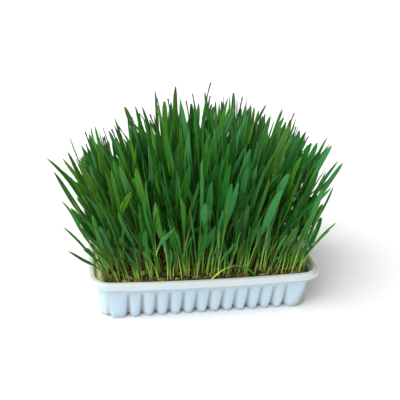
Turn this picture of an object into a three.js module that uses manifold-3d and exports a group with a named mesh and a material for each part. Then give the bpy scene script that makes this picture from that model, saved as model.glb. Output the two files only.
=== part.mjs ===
// A wheatgrass tray: a stand of young wheat in a shallow fluted tray of thin moulded plastic.
// Millimetres, +Z up. The origin is the centre of the tray's underside, +X runs along the tray's
// long side and -Y is its front. The sown bed fills the tray to just under its rim, and each
// clump of sprouted kernels stands in a plain pocket of the bed.

import * as THREE from "three";
import { mergeVertices } from "three/addons/utils/BufferGeometryUtils.js";
import Module from "manifold-3d";

// ---- Tray ----
const RIM_LENGTH = 176; // over the turned-down lip
const RIM_WIDTH = 120; // over the lip at the ends of the long sides
const TRAY_HEIGHT = 32.2;
const RIM_CORNER = 17; // radius of the rim's corners in plan
const LONG_BOW = 2.4; // outward bow of each long side of the rim at its middle
const SHORT_BOW = 1.6; // the same on the short sides
const FLANGE = 4.5; // width of the flat flange
const LIP_DROP = 4.7; // height of the turned-down lip
const LIP_FLARE = 0.5; // how far the lip leans out over its height
const SHEET = 0.9; // thickness of the plastic
const FOOT_LENGTH = 160; // over the flute ridges at the floor
const FOOT_WIDTH = 106;
const FOOT_CORNER = 10;
const FOOT_BEVEL = 1.2; // softened edge between wall and floor
const CORNER_STEPS = 4; // facets of each corner
const LONG_STATIONS = 7; // points along a plain long side
const SHORT_STATIONS = 3; // and along a plain short side

// ---- Flutes pressed into the walls ----
const LONG_PITCH = 10;
const LONG_FLUTES = 13;
const SHORT_PITCH = 9.9;
const SHORT_FLUTES = 9;
const FLUTE_DEPTH = 4.3; // at the floor, running out to nothing at FLUTE_TOP
const FLUTE_TOP = 22.5;
const FLUTE_BED = 1.4; // width of the flute's bed
const MOUTH_LOW = 4.8; // width of its mouth at the floor
const MOUTH_HIGH = 2.2; // and at its top
const OFFSET_SHARE = 0.67; // how far a flute's edges spread for each millimetre of inset

// ---- Sown bed ----
const GAP = 0.3; // clearance between touching pieces
const BED_TOP = 29.6;
const LOOSE_KERNELS = 34; // kernels lying loose along the front and the back of the bed
const KERNEL_LENGTH = 6.8;
const KERNEL_WIDTH = 3.2;
const KERNEL_HEIGHT = 2.8;
const KERNEL_LIFT = 0.5; // of its middle above the bed
const KERNEL_RUN = 143; // length of a row of loose kernels
const KERNEL_OUT = 51.2; // the row's distance from the middle of the bed
const KERNEL_SCATTER = 0.3;
const KERNEL_TURN = 0.4; // greatest turn away from the row, in radians

// ---- Clumps of shoots ----
const COLUMNS = 7;
const ROWS = 5;
const CLUMP_PITCH_X = 22.6;
const CLUMP_PITCH_Y = 20.4;
const CLUMP_LENGTH = 20; // of the root plug
const CLUMP_WIDTH = 17.8;
const CLUMP_CHAMFER = 4;
const CLUMP_SHIFT = 0.3; // random shift of a clump in its place
const PLUG_DEPTH = 8;
const PLUG_RISE = 1.8; // most that a plug stands above the bed
const SHOOT_COLUMNS = 4;
const SHOOT_ROWS = 3;
const SHOOT_SPREAD = 0.9; // share of the plug that the shoots stand on
const SEAT_SCATTER = 0.3; // scatter of a root about its seat, as a share of the seat's size
const ROOT_SINK = 4.5; // how deep a shoot starts below the bed's top
const ROOT_MARGIN = 1; // least distance from a root's middle to the edge of its plug

// ---- Shoots ----
const LENGTH_SHORT = 44;
const LENGTH_TALL = 115;
const SHORT_SHARE = 0.2; // share of the shoots that stayed short
const SHORT_SHARE_FRONT = 0.5; // and along the front
const LOSS_LEFT = 41; // how much shorter the shoots are at the tray's left end
const LOSS_RIGHT = 39; // and at its right end
const LOSS_FRONT = 42; // along its front
const LOSS_BACK = 10; // and along its back
const FALL_LEFT = 1.3; // how late the loss sets in on the way to the left end, as a power
const FALL_RIGHT = 3; // and to the right end
const LENGTH_VARIATION = 15;
const LEAN_LEFT = 0.38; // outward lean at the left end, as a tangent
const LEAN_RIGHT = 0.27; // and at the right end
const LEAN_RISE_LEFT = 0.7; // how late this lean sets in on the way to the left end, as a power
const LEAN_RISE_RIGHT = 2.2; // and to the right end
const LEAN_BACK_LOSS = 0.4; // share of this lean that is missing along the back
const LEAN_SIDES = 0.2; // outward lean along the front and the back
const LEAN_VARIATION = 0.2;
const BEND = 0.1; // mean growth of the lean from root to tip, in radians
const BEND_VARIATION = 0.12;
const WIDTH_NARROW = 3.4;
const WIDTH_BROAD = 6.6;
const WIDTH_BIAS = 1.4; // power of the draw, above 1 because more shoots are narrow
const STEM_WIDTH = 1.7;
const STEM_THICKNESS = 1.5;
const FACING_SPREAD = 1.2; // greatest turn of a leaf's face away from the front, in radians
const TWIST = 0.9; // greatest twist of a leaf, in radians
const CLEARANCE = 0.42; // between any two shoots
const RIM_ROOM = 1; // kept between a shoot and the rim's flange
const RIM_ROOM_ABOVE = 1.5; // height above the flange at which a shoot may hang over it
const DRAWS_PER_SHOOT = 28; // draws before a crowded shoot is left out

// Stations along a shoot: share of its length, width as a share of its own, and thickness.
const STATIONS = [
  { along: 0, spread: 0, thick: STEM_THICKNESS },
  { along: 0.3, spread: 0.2, thick: 1.3 },
  { along: 0.64, spread: 1, thick: 1.0 },
  { along: 0.9, spread: 0.78, thick: 0.8 },
  { along: 1, spread: 0, thick: 0 },
];

// Shoots that stray out of the stand, to its left, above it and to its right, each by the place
// of its root, in millimetres and degrees.
const STRAYS = [
  { root: [-74, -16], toward: 170, leanRoot: 12, leanTip: 44, length: 92, width: 4.2, facing: 50 },
  { root: [-73, -27], toward: 175, leanRoot: 20, leanTip: 34, length: 82, width: 5, facing: 40 },
  { root: [-28, 21], toward: 180, leanRoot: 2, leanTip: 6, length: 124, width: 3.4, facing: 10 },
  { root: [-14, 19], toward: 200, leanRoot: 1, leanTip: 5, length: 128, width: 5, facing: -30 },
  { root: [-3, 22], toward: 40, leanRoot: 2, leanTip: 12, length: 131, width: 3.4, facing: 30 },
  { root: [-74, -43.5], toward: 186, leanRoot: 30, leanTip: 40, length: 51, width: 2.6, facing: 80 },
  { root: [-72.5, -46], toward: 190, leanRoot: 40, leanTip: 56, length: 38, width: 3.4, facing: 70 },
  { root: [-74, -35], toward: 180, leanRoot: 26, leanTip: 32, length: 63, width: 3.6, facing: 60 },
  { root: [75, -46.5], toward: 345, leanRoot: 6, leanTip: 14, length: 45, width: 3.8, facing: 20 },
  { root: [75.5, -42.5], toward: 5, leanRoot: 14, leanTip: 54, length: 46, width: 3.2, facing: 60 },
  { root: [73.5, -16], toward: 0, leanRoot: 20, leanTip: 31, length: 85, width: 4.4, facing: 30 },
];

const SEED = 20431;

const FINISHES = {
  plastic: { color: 0xe6eef4, roughness: 0.3, metalness: 0 },
  bed: { color: 0x3a2c1a, roughness: 0.9, metalness: 0 },
  shoots: { color: 0x3c7a33, roughness: 0.55, metalness: 0 },
};

const WELD = 1e-4; // points closer than this are one
const LEVEL_CUT = 1; // how far a cutting solid runs past the face that it cuts
const ALONG_STEP = 0.01; // share of a shoot over which its direction is taken
const NEARLY_PARALLEL = 1e-9;

const wasm = await Module();
wasm.setup();

// ---- Solids and joins ----

function solidFrom(geometry) {
  const bare = geometry.clone();
  bare.deleteAttribute("normal");
  bare.deleteAttribute("uv");
  const merged = mergeVertices(bare, WELD);
  return new wasm.Manifold(
    new wasm.Mesh({
      numProp: 3,
      vertProperties: new Float32Array(merged.attributes.position.array),
      triVerts: new Uint32Array(merged.index.array),
    }),
  );
}

function joined(solids) {
  return solids.reduce((whole, next) => whole.add(next));
}

function meshFrom(solid, name, finish) {
  const { vertProperties, triVerts } = solid.getMesh();
  const geometry = new THREE.BufferGeometry();
  geometry.setAttribute("position", new THREE.BufferAttribute(vertProperties, 3));
  geometry.setIndex(new THREE.BufferAttribute(triVerts, 1));
  geometry.computeVertexNormals();
  const mesh = new THREE.Mesh(geometry, new THREE.MeshStandardMaterial(finish));
  mesh.name = name;
  return mesh;
}

// A closed solid through rings of equal point count, from the lowest to the highest, each listed
// counter-clockwise seen from above. Its two ends are closed flat.
function stackedSolid(rings) {
  const count = rings[0].length;
  const positions = rings.flat(2);
  const faces = [];
  for (let level = 0; level < rings.length - 1; level++) {
    for (let i = 0; i < count; i++) {
      const a = level * count + i;
      const b = level * count + ((i + 1) % count);
      faces.push(a, b, b + count, a, b + count, a + count);
    }
  }
  const flat = (ring) => ring.map(([x, y]) => new THREE.Vector2(x, y));
  const top = (rings.length - 1) * count;
  for (const [a, b, c] of THREE.ShapeUtils.triangulateShape(flat(rings[0]), [])) {
    faces.push(a, c, b);
  }
  for (const [a, b, c] of THREE.ShapeUtils.triangulateShape(flat(rings.at(-1)), [])) {
    faces.push(top + a, top + b, top + c);
  }
  const geometry = new THREE.BufferGeometry();
  geometry.setAttribute("position", new THREE.Float32BufferAttribute(positions, 3));
  geometry.setIndex(faces);
  return solidFrom(geometry);
}

// ---- Plan outlines ----

// One quarter turn about a corner's centre, starting at the given angle.
function cornerArc(centreX, centreY, radius, startAngle, steps) {
  return Array.from({ length: steps + 1 }, (_, i) => {
    const angle = startAngle + ((Math.PI / 2) * i) / steps;
    return [centreX + radius * Math.cos(angle), centreY + radius * Math.sin(angle)];
  });
}

// A rounded rectangle with bowed sides. sideStations gives, for a side of the given half length,
// the points along it as [place from -1 to 1 of that half length, recess].
function bowedOutline({ halfLength, halfWidth, corner, bowLong, bowShort }, longSide, shortSide, steps) {
  const reachX = halfLength - corner;
  const reachY = halfWidth - corner;
  const arch = (share) => 1 - share * share;
  const long = longSide.map(([x, recess]) => [x, halfWidth + bowLong * arch(x / reachX) - recess]);
  const short = shortSide.map(([y, recess]) => [y, halfLength + bowShort * arch(y / reachY) - recess]);
  return [
    ...cornerArc(-reachX, -reachY, corner, Math.PI, steps),
    ...long.map(([x, out]) => [x, -out]),
    ...cornerArc(reachX, -reachY, corner, -Math.PI / 2, steps),
    ...short.map(([y, out]) => [out, y]),
    ...cornerArc(reachX, reachY, corner, 0, steps),
    ...long.map(([x, out]) => [-x, out]),
    ...cornerArc(-reachX, reachY, corner, Math.PI / 2, steps),
    ...short.map(([y, out]) => [-out, -y]),
  ];
}

function atHeight(outline, z) {
  return outline.map(([x, y]) => [x, y, z]);
}

// Size of the wall's plan at height z, moved in by inset. The bow grows from the floor up.
function wallPlan(z, inset) {
  const share = z / TRAY_HEIGHT;
  const mix = (foot, top) => foot + (top - foot) * share;
  return {
    halfLength: mix(FOOT_LENGTH, RIM_LENGTH - 2 * FLANGE) / 2 - inset,
    halfWidth: mix(FOOT_WIDTH, RIM_WIDTH - 2 * FLANGE) / 2 - inset,
    corner: mix(FOOT_CORNER, RIM_CORNER - FLANGE) - inset,
    bowLong: LONG_BOW * share,
    bowShort: SHORT_BOW * share,
  };
}

function rimPlan(inset) {
  return {
    halfLength: RIM_LENGTH / 2 - inset,
    halfWidth: RIM_WIDTH / 2 - inset,
    corner: RIM_CORNER - inset,
    bowLong: LONG_BOW,
    bowShort: SHORT_BOW,
  };
}

// Points of a row of flutes along one side: mouth, bed, bed, mouth.
function fluteRow(count, pitch, z, inset) {
  const rise = Math.min(z / FLUTE_TOP, 1);
  const mouth = (MOUTH_LOW + (MOUTH_HIGH - MOUTH_LOW) * rise) / 2 + OFFSET_SHARE * inset;
  const bed = FLUTE_BED / 2 + OFFSET_SHARE * inset;
  const depth = FLUTE_DEPTH * (1 - rise);
  const points = [];
  for (let i = 0; i < count; i++) {
    const centre = (i - (count - 1) / 2) * pitch;
    points.push([centre - mouth, 0], [centre - bed, depth]);
    points.push([centre + bed, depth], [centre + mouth, 0]);
  }
  return points;
}

function evenRow(count, reach) {
  return Array.from({ length: count }, (_, i) => [reach * ((2 * (i + 1)) / (count + 1) - 1), 0]);
}

function flutedRing(z, inset, bevel = 0) {
  const long = fluteRow(LONG_FLUTES, LONG_PITCH, z, inset);
  const short = fluteRow(SHORT_FLUTES, SHORT_PITCH, z, inset);
  return atHeight(bowedOutline(wallPlan(z, inset + bevel), long, short, CORNER_STEPS), z);
}

function plainRing(plan, z) {
  const long = evenRow(LONG_STATIONS, plan.halfLength - plan.corner);
  const short = evenRow(SHORT_STATIONS, plan.halfWidth - plan.corner);
  return atHeight(bowedOutline(plan, long, short, CORNER_STEPS), z);
}

// ---- Tray ----

function trayWell() {
  return stackedSolid([
    flutedRing(SHEET, SHEET, FOOT_BEVEL / 2),
    flutedRing(FLUTE_TOP, SHEET),
    flutedRing(TRAY_HEIGHT + LEVEL_CUT, SHEET),
  ]);
}

function trayBody() {
  return stackedSolid([
    flutedRing(0, 0, FOOT_BEVEL),
    flutedRing(FOOT_BEVEL, 0),
    flutedRing(FLUTE_TOP, 0),
    flutedRing(TRAY_HEIGHT - SHEET / 2, 0),
  ]);
}

// The flange with its turned-down lip: a shallow lid with its underside cut away.
function trayRim() {
  const lipFoot = TRAY_HEIGHT - LIP_DROP;
  const lid = stackedSolid([
    plainRing(rimPlan(0), lipFoot),
    plainRing(rimPlan(LIP_FLARE), TRAY_HEIGHT - SHEET),
    plainRing(rimPlan(LIP_FLARE + SHEET), TRAY_HEIGHT),
  ]);
  const underside = stackedSolid([
    plainRing(rimPlan(SHEET), lipFoot - LEVEL_CUT),
    plainRing(rimPlan(LIP_FLARE + SHEET), TRAY_HEIGHT - SHEET),
  ]);
  return lid.subtract(underside);
}

function trayMesh() {
  const solid = trayBody().add(trayRim()).subtract(trayWell());
  return meshFrom(solid, "tray", FINISHES.plastic);
}

// ---- Seeded draws ----

const DRAW_FACTOR = 1664525;
const DRAW_STEP = 1013904223;
const DRAW_RANGE = 2 ** 32;

function seededDraw(seed) {
  let state = seed;
  return () => {
    state = (state * DRAW_FACTOR + DRAW_STEP) % DRAW_RANGE;
    return state / DRAW_RANGE;
  };
}

const between = (draw, low, high) => low + (high - low) * draw();
const within = (draw, reach) => reach * (2 * draw() - 1);
const centred = (draw) => draw() + draw() - 1; // mostly near 0, never past 1 either way

// ---- Clumps ----

function clumpPlaces() {
  const draw = seededDraw(SEED);
  const places = [];
  for (let row = 0; row < ROWS; row++) {
    for (let column = 0; column < COLUMNS; column++) {
      const shiftX = within(draw, CLUMP_SHIFT);
      const shiftY = within(draw, CLUMP_SHIFT);
      places.push({
        x: (column - (COLUMNS - 1) / 2) * CLUMP_PITCH_X + shiftX,
        y: (row - (ROWS - 1) / 2) * CLUMP_PITCH_Y + shiftY,
        rise: PLUG_RISE * draw(),
      });
    }
  }
  return places;
}

// The plan of a root plug about its own centre: a rectangle with cut corners.
function plugRing(z, grow) {
  const x = CLUMP_LENGTH / 2 + grow;
  const y = CLUMP_WIDTH / 2 + grow;
  const cut = CLUMP_CHAMFER;
  return [
    [-x + cut, -y, z],
    [x - cut, -y, z],
    [x, -y + cut, z],
    [x, y - cut, z],
    [x - cut, y, z],
    [-x + cut, y, z],
    [-x, y - cut, z],
    [-x, -y + cut, z],
  ];
}

function rootPlug(rise) {
  return stackedSolid([plugRing(-PLUG_DEPTH, 0), plugRing(rise, 0)]);
}

function pocket({ x, y }) {
  const floor = -PLUG_DEPTH - GAP;
  return stackedSolid([plugRing(floor, GAP), plugRing(LEVEL_CUT, GAP)]).translate([x, y, BED_TOP]);
}

// ---- Shoots ----

// The middle line of a shoot: it leaves its root at one lean and reaches its tip at another.
function shootPoint(shoot, along) {
  const { root, toward, leanRoot, leanTip, length } = shoot;
  const sine = Math.sin(leanRoot) * along + ((Math.sin(leanTip) - Math.sin(leanRoot)) * along * along) / 2;
  const cosine =
    Math.cos(leanRoot) * along + ((Math.cos(leanTip) - Math.cos(leanRoot)) * along * along) / 2;
  return new THREE.Vector3(
    root[0] + Math.cos(toward) * length * sine,
    root[1] + Math.sin(toward) * length * sine,
    BED_TOP + length * cosine,
  );
}

// Middle, half width across, and half thickness through a shoot at each of its stations.
function shootFrames(shoot) {
  return STATIONS.map(({ along, spread, thick }) => {
    const middle = shootPoint(shoot, along);
    const before = shootPoint(shoot, along - ALONG_STEP);
    const forward = shootPoint(shoot, along + ALONG_STEP).sub(before).normalize();
    const turned = shoot.facing + shoot.twist * along;
    const across = new THREE.Vector3(Math.cos(turned), Math.sin(turned), 0);
    across.addScaledVector(forward, -across.dot(forward)).normalize();
    const through = new THREE.Vector3().crossVectors(forward, across);
    const width = thick === 0 ? 0 : STEM_WIDTH + (shoot.width - STEM_WIDTH) * spread;
    return { middle, across, through, halfWidth: width / 2, halfThick: thick / 2 };
  });
}

// Closest points of two segments, each given by its two ends, as shares along them.
function closestShares(a0, a1, b0, b1) {
  const clamp = (value) => Math.min(Math.max(value, 0), 1);
  const runA = new THREE.Vector3().subVectors(a1, a0);
  const runB = new THREE.Vector3().subVectors(b1, b0);
  const offset = new THREE.Vector3().subVectors(a0, b0);
  const aa = runA.dot(runA);
  const bb = runB.dot(runB);
  const ab = runA.dot(runB);
  const ao = runA.dot(offset);
  const bo = runB.dot(offset);
  const spread = aa * bb - ab * ab;
  let shareA = spread > NEARLY_PARALLEL ? clamp((ab * bo - ao * bb) / spread) : 0;
  let shareB = (ab * shareA + bo) / bb;
  if (shareB < 0 || shareB > 1) {
    shareB = clamp(shareB);
    shareA = clamp((ab * shareB - ao) / aa);
  }
  return [shareA, shareB];
}

// How far a shoot reaches from its middle line in a direction, between two of its stations.
function reachToward(low, high, share, direction) {
  const mixed = (key) => low[key] + (high[key] - low[key]) * share;
  const nearer = share < 0.5 ? low : high;
  return (
    mixed("halfWidth") * Math.abs(direction.dot(nearer.across)) +
    mixed("halfThick") * Math.abs(direction.dot(nearer.through))
  );
}

function stretchesClear(a0, a1, b0, b1) {
  const lowest = Math.max(a0.middle.z, b0.middle.z);
  const highest = Math.min(a1.middle.z, b1.middle.z);
  if (lowest > highest + WIDTH_BROAD) return true;
  const [shareA, shareB] = closestShares(a0.middle, a1.middle, b0.middle, b1.middle);
  const pointA = new THREE.Vector3().lerpVectors(a0.middle, a1.middle, shareA);
  const apart = new THREE.Vector3().lerpVectors(b0.middle, b1.middle, shareB).sub(pointA);
  const distance = apart.length();
  if (distance > WIDTH_BROAD + CLEARANCE) return true;
  apart.normalize();
  const needed = reachToward(a0, a1, shareA, apart) + reachToward(b0, b1, shareB, apart);
  return distance >= needed + CLEARANCE;
}

function shootsClear(framesA, framesB) {
  for (let i = 0; i + 1 < framesA.length; i++) {
    for (let j = 0; j + 1 < framesB.length; j++) {
      if (!stretchesClear(framesA[i], framesA[i + 1], framesB[j], framesB[j + 1])) return false;
    }
  }
  return true;
}

// Where the straight stem ends, down in its plug.
function sunkEnd([root, stem]) {
  const run = new THREE.Vector3().subVectors(stem.middle, root.middle);
  return root.middle.clone().addScaledVector(run, -ROOT_SINK / run.z);
}

// Whether a point stays inside the plan of a plug.
function insidePlug(place, { x, y }) {
  const roomX = CLUMP_LENGTH / 2 - Math.abs(x - place.x);
  const roomY = CLUMP_WIDTH / 2 - Math.abs(y - place.y);
  const roomCut = (roomX + roomY - CLUMP_CHAMFER) * Math.SQRT1_2;
  return Math.min(roomX, roomY, roomCut) > ROOT_MARGIN;
}

// The whole stand must keep off the rim's flange.
function clearOfRim(frames) {
  const roomX = RIM_LENGTH / 2 - FLANGE - RIM_ROOM;
  const roomY = RIM_WIDTH / 2 - FLANGE - RIM_ROOM;
  return frames.every(({ middle, halfWidth }) => {
    const inside = Math.abs(middle.x) + halfWidth < roomX && Math.abs(middle.y) + halfWidth < roomY;
    return inside || middle.z > TRAY_HEIGHT + RIM_ROOM_ABOVE;
  });
}

function drawnShoot(draw, root) {
  const edgeX = root[0] / (RIM_LENGTH / 2 - FLANGE);
  const edgeY = root[1] / (RIM_WIDTH / 2 - FLANGE);
  const leanEnd = edgeX < 0 ? LEAN_LEFT : LEAN_RIGHT;
  const lossEnd = edgeX < 0 ? LOSS_LEFT : LOSS_RIGHT;
  const lossSide = edgeY < 0 ? LOSS_FRONT : LOSS_BACK;
  const fall = edgeX < 0 ? FALL_LEFT : FALL_RIGHT;
  const rise = edgeX < 0 ? LEAN_RISE_LEFT : LEAN_RISE_RIGHT;
  const fanned = leanEnd * Math.abs(edgeX) ** rise * (1 - LEAN_BACK_LOSS * Math.max(edgeY, 0));
  const leanX = Math.sign(edgeX) * fanned + LEAN_VARIATION * centred(draw);
  const leanY = LEAN_SIDES * edgeY + LEAN_VARIATION * centred(draw);
  const lean = Math.atan(Math.sqrt(leanX * leanX + leanY * leanY));
  const bend = BEND + within(draw, BEND_VARIATION);
  const loss = lossEnd * Math.abs(edgeX) ** fall + lossSide * edgeY ** 2;
  const grown = LENGTH_TALL - loss + LENGTH_VARIATION * centred(draw);
  const front = Math.max(-edgeY, 0);
  const stunted = draw() < SHORT_SHARE + (SHORT_SHARE_FRONT - SHORT_SHARE) * front;
  const shortened = between(draw, LENGTH_SHORT, grown);
  return {
    root,
    toward: Math.atan2(leanY, leanX),
    leanRoot: Math.max(lean - bend, 0),
    leanTip: lean + bend,
    length: stunted ? shortened : grown,
    width: WIDTH_NARROW + (WIDTH_BROAD - WIDTH_NARROW) * draw() ** WIDTH_BIAS,
    facing: within(draw, FACING_SPREAD),
    twist: within(draw, TWIST),
  };
}

function strayShoot(stray) {
  const radians = THREE.MathUtils.degToRad;
  return {
    ...stray,
    toward: radians(stray.toward),
    leanRoot: radians(stray.leanRoot),
    leanTip: radians(stray.leanTip),
    facing: radians(stray.facing),
    twist: 0,
  };
}

// Draws every shoot in turn, clump by clump. A shoot that would cross one already standing is
// drawn again, and left out if it never comes clear.
function standOfShoots(places) {
  const draw = seededDraw(SEED + 1);
  const standing = STRAYS.map((stray) => {
    return { clump: nearestClump(places, stray.root), frames: shootFrames(strayShoot(stray)) };
  });
  places.forEach((place, clump) => {
    for (let seat = 0; seat < SHOOT_COLUMNS * SHOOT_ROWS; seat++) {
      const column = seat % SHOOT_COLUMNS;
      const row = Math.floor(seat / SHOOT_COLUMNS);
      for (let attempt = 0; attempt < DRAWS_PER_SHOOT; attempt++) {
        const shareX = (column + 0.5 + within(draw, SEAT_SCATTER)) / SHOOT_COLUMNS - 0.5;
        const shareY = (row + 0.5 + within(draw, SEAT_SCATTER)) / SHOOT_ROWS - 0.5;
        const root = [
          place.x + CLUMP_LENGTH * SHOOT_SPREAD * shareX,
          place.y + CLUMP_WIDTH * SHOOT_SPREAD * shareY,
        ];
        const frames = shootFrames(drawnShoot(draw, root));
        const held = insidePlug(place, frames[0].middle) && insidePlug(place, sunkEnd(frames));
        if (held && clearOfRim(frames) && standing.every((other) => shootsClear(frames, other.frames))) {
          standing.push({ clump, frames });
          break;
        }
      }
    }
  });
  return standing;
}

function nearestClump(places, root) {
  const distances = places.map(({ x, y }) => Math.hypot(x - root[0], y - root[1]));
  return distances.indexOf(Math.min(...distances));
}

// The leaf's face, from edge to edge, and the keel behind it.
function crossCorners({ middle, across, through, halfWidth, halfThick }) {
  return [
    middle.clone().addScaledVector(across, -halfWidth).addScaledVector(through, -halfThick),
    middle.clone().addScaledVector(across, halfWidth).addScaledVector(through, -halfThick),
    middle.clone().addScaledVector(through, halfThick),
  ];
}

// A shoot as a slender three-sided solid. Its stem is one straight taper, which starts well down
// in the plug that it grows out of.
function shootSolid(frames) {
  const [root, stem] = frames;
  const sunk = sunkEnd(frames);
  const rings = frames.slice(1, -1).map(crossCorners);
  const taper = root.halfWidth / stem.halfWidth;
  rings.unshift(rings[0].map((corner) => corner.clone().sub(stem.middle).multiplyScalar(taper).add(sunk)));
  const points = [...rings.flat(), frames.at(-1).middle];
  const tip = points.length - 1;
  const faces = [0, 2, 1];
  for (let level = 0; level < rings.length - 1; level++) {
    for (let i = 0; i < 3; i++) {
      const a = level * 3 + i;
      const b = level * 3 + ((i + 1) % 3);
      faces.push(a, b, b + 3, a, b + 3, a + 3);
    }
  }
  const last = (rings.length - 1) * 3;
  for (let i = 0; i < 3; i++) {
    faces.push(last + i, last + ((i + 1) % 3), tip);
  }
  const geometry = new THREE.BufferGeometry().setFromPoints(points);
  geometry.setIndex(faces);
  return solidFrom(geometry);
}

function clumpMesh(place, frames, name) {
  const { x, y, rise } = place;
  const shoots = frames.map((each) => shootSolid(each).translate([-x, -y, -BED_TOP]));
  const mesh = meshFrom(joined([rootPlug(rise), ...shoots]), name, FINISHES.shoots);
  mesh.position.set(x, y, BED_TOP);
  return mesh;
}

// ---- Sown bed ----

function kernelSolid(x, y, turn) {
  const kernel = new THREE.OctahedronGeometry(1);
  kernel.scale(KERNEL_LENGTH / 2, KERNEL_WIDTH / 2, KERNEL_HEIGHT / 2);
  kernel.rotateZ(turn);
  kernel.translate(x, y, BED_TOP + KERNEL_LIFT);
  return solidFrom(kernel);
}

function bedBlock() {
  const floor = SHEET + GAP;
  const inset = SHEET + 2 * GAP;
  const fluteIn = inset + FLUTE_DEPTH;
  return stackedSolid([
    plainRing(wallPlan(floor, fluteIn), floor),
    plainRing(wallPlan(FLUTE_TOP, inset), FLUTE_TOP),
    plainRing(wallPlan(BED_TOP, inset), BED_TOP),
  ]);
}

function bedMesh(places) {
  const draw = seededDraw(SEED + 2);
  const kernels = [];
  for (let i = 0; i < LOOSE_KERNELS; i++) {
    const side = i % 2 === 0 ? -1 : 1;
    const x = ((i + 0.5) / LOOSE_KERNELS - 0.5) * KERNEL_RUN;
    const y = side * (KERNEL_OUT + within(draw, KERNEL_SCATTER));
    kernels.push(kernelSolid(x, y, within(draw, KERNEL_TURN)));
  }
  const solid = joined([bedBlock(), ...kernels]);
  const hollowed = places.map(pocket).reduce((rest, hole) => rest.subtract(hole), solid);
  return meshFrom(hollowed, "sown_bed", FINISHES.bed);
}

// ---- Assembly ----

const group = new THREE.Group();
const places = clumpPlaces();
const stand = standOfShoots(places);

group.add(trayMesh());
group.add(bedMesh(places));
places.forEach((place, clump) => {
  const frames = stand.filter((entry) => entry.clump === clump).map((entry) => entry.frames);
  const name = "clump_" + String(clump + 1).padStart(2, "0");
  group.add(clumpMesh(place, frames, name));
});

export default group;
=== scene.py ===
"""A tray of young wheat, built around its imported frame.

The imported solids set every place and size. The pieces made here stand in for them with the
finer forms and finishes of the real thing: the thin fluted plastic, the soil with its kernels
and rootlets, and the stand of shoots, leaf by leaf. Lengths inside the making of a piece are
millimetres, as in the source of the solids; a mesh is scaled to metres when it is made.
"""

import math
import random
from functools import cache

import bpy
import numpy as np
from bpy.props import FloatProperty, FloatVectorProperty, IntProperty, PointerProperty
from mathutils import Matrix, Vector, noise


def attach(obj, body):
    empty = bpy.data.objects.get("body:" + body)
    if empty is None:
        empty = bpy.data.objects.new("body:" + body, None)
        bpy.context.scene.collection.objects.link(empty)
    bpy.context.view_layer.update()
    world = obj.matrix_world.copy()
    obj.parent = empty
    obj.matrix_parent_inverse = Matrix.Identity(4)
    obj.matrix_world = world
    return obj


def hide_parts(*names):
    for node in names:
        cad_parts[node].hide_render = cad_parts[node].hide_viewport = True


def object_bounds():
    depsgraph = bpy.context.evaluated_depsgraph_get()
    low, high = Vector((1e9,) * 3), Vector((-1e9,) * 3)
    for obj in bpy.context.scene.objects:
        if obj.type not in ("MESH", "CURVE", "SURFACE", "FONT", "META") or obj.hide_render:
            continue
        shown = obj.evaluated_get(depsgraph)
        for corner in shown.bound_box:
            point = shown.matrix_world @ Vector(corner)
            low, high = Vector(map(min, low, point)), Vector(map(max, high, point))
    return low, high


bl_info = {
    "name": "Wheatgrass tray",
    "version": (1, 0, 0),
    "blender": (4, 5, 0),
    "location": "View3D > Sidebar > Wheatgrass",
    "description": "Builds a tray of young wheat around its packed frame",
    "category": "Object",
}

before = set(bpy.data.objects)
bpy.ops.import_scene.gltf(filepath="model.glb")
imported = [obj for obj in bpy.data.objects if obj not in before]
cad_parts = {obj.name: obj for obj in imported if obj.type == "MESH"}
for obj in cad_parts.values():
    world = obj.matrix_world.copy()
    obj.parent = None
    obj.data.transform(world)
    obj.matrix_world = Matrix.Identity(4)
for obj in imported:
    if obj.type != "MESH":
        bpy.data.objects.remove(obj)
CAD_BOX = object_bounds()
BODY = "root"
MM = 0.001

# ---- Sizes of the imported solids, in millimetres ----

RIM_LENGTH = 176.0
RIM_WIDTH = 120.0
TRAY_HEIGHT = 32.2
RIM_CORNER = 17.0
LONG_BOW = 2.4
SHORT_BOW = 1.6
FLANGE = 4.5
LIP_DROP = 4.7
LIP_FLARE = 0.5
SHEET = 0.9
FOOT_LENGTH = 160.0
FOOT_WIDTH = 106.0
FOOT_CORNER = 10.0
FOOT_BEVEL = 1.2
LONG_PITCH = 10.0
LONG_FLUTES = 13
SHORT_PITCH = 9.9
SHORT_FLUTES = 9
FLUTE_DEPTH = 4.3
FLUTE_BED = 1.4
GAP = 0.3
BED_TOP = 29.6

COLUMNS = 7
ROWS = 5
CLUMP_PITCH_X = 22.6
CLUMP_PITCH_Y = 20.4
CLUMP_LENGTH = 20.0
CLUMP_WIDTH = 17.8
CLUMP_CHAMFER = 4.0
CLUMP_SHIFT = 0.3
PLUG_RISE = 1.8
SHOOT_COLUMNS = 4
SHOOT_ROWS = 3
SHOOT_SPREAD = 0.9
SEAT_SCATTER = 0.3
ROOT_SINK = 4.5
ROOT_MARGIN = 1.0

LENGTH_SHORT = 44.0
LENGTH_TALL = 115.0
SHORT_SHARE = 0.2
SHORT_SHARE_FRONT = 0.5
LOSS_LEFT = 41.0
LOSS_RIGHT = 39.0
LOSS_FRONT = 42.0
LOSS_BACK = 10.0
FALL_LEFT = 1.3
FALL_RIGHT = 3.0
LENGTH_VARIATION = 15.0
LEAN_LEFT = 0.38
LEAN_RIGHT = 0.27
LEAN_RISE_LEFT = 0.7
LEAN_RISE_RIGHT = 2.2
LEAN_BACK_LOSS = 0.4
LEAN_SIDES = 0.2
LEAN_VARIATION = 0.2
BEND = 0.1
BEND_VARIATION = 0.12
WIDTH_NARROW = 3.4
WIDTH_BROAD = 6.6
WIDTH_BIAS = 1.4
STEM_WIDTH = 1.7
FACING_SPREAD = 1.2
TWIST = 0.9
CLEARANCE = 0.42
RIM_ROOM = 1.0
RIM_ROOM_ABOVE = 1.5
DRAWS_PER_SHOOT = 28
ALONG_STEP = 0.01
NEARLY_PARALLEL = 1e-9

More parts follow.
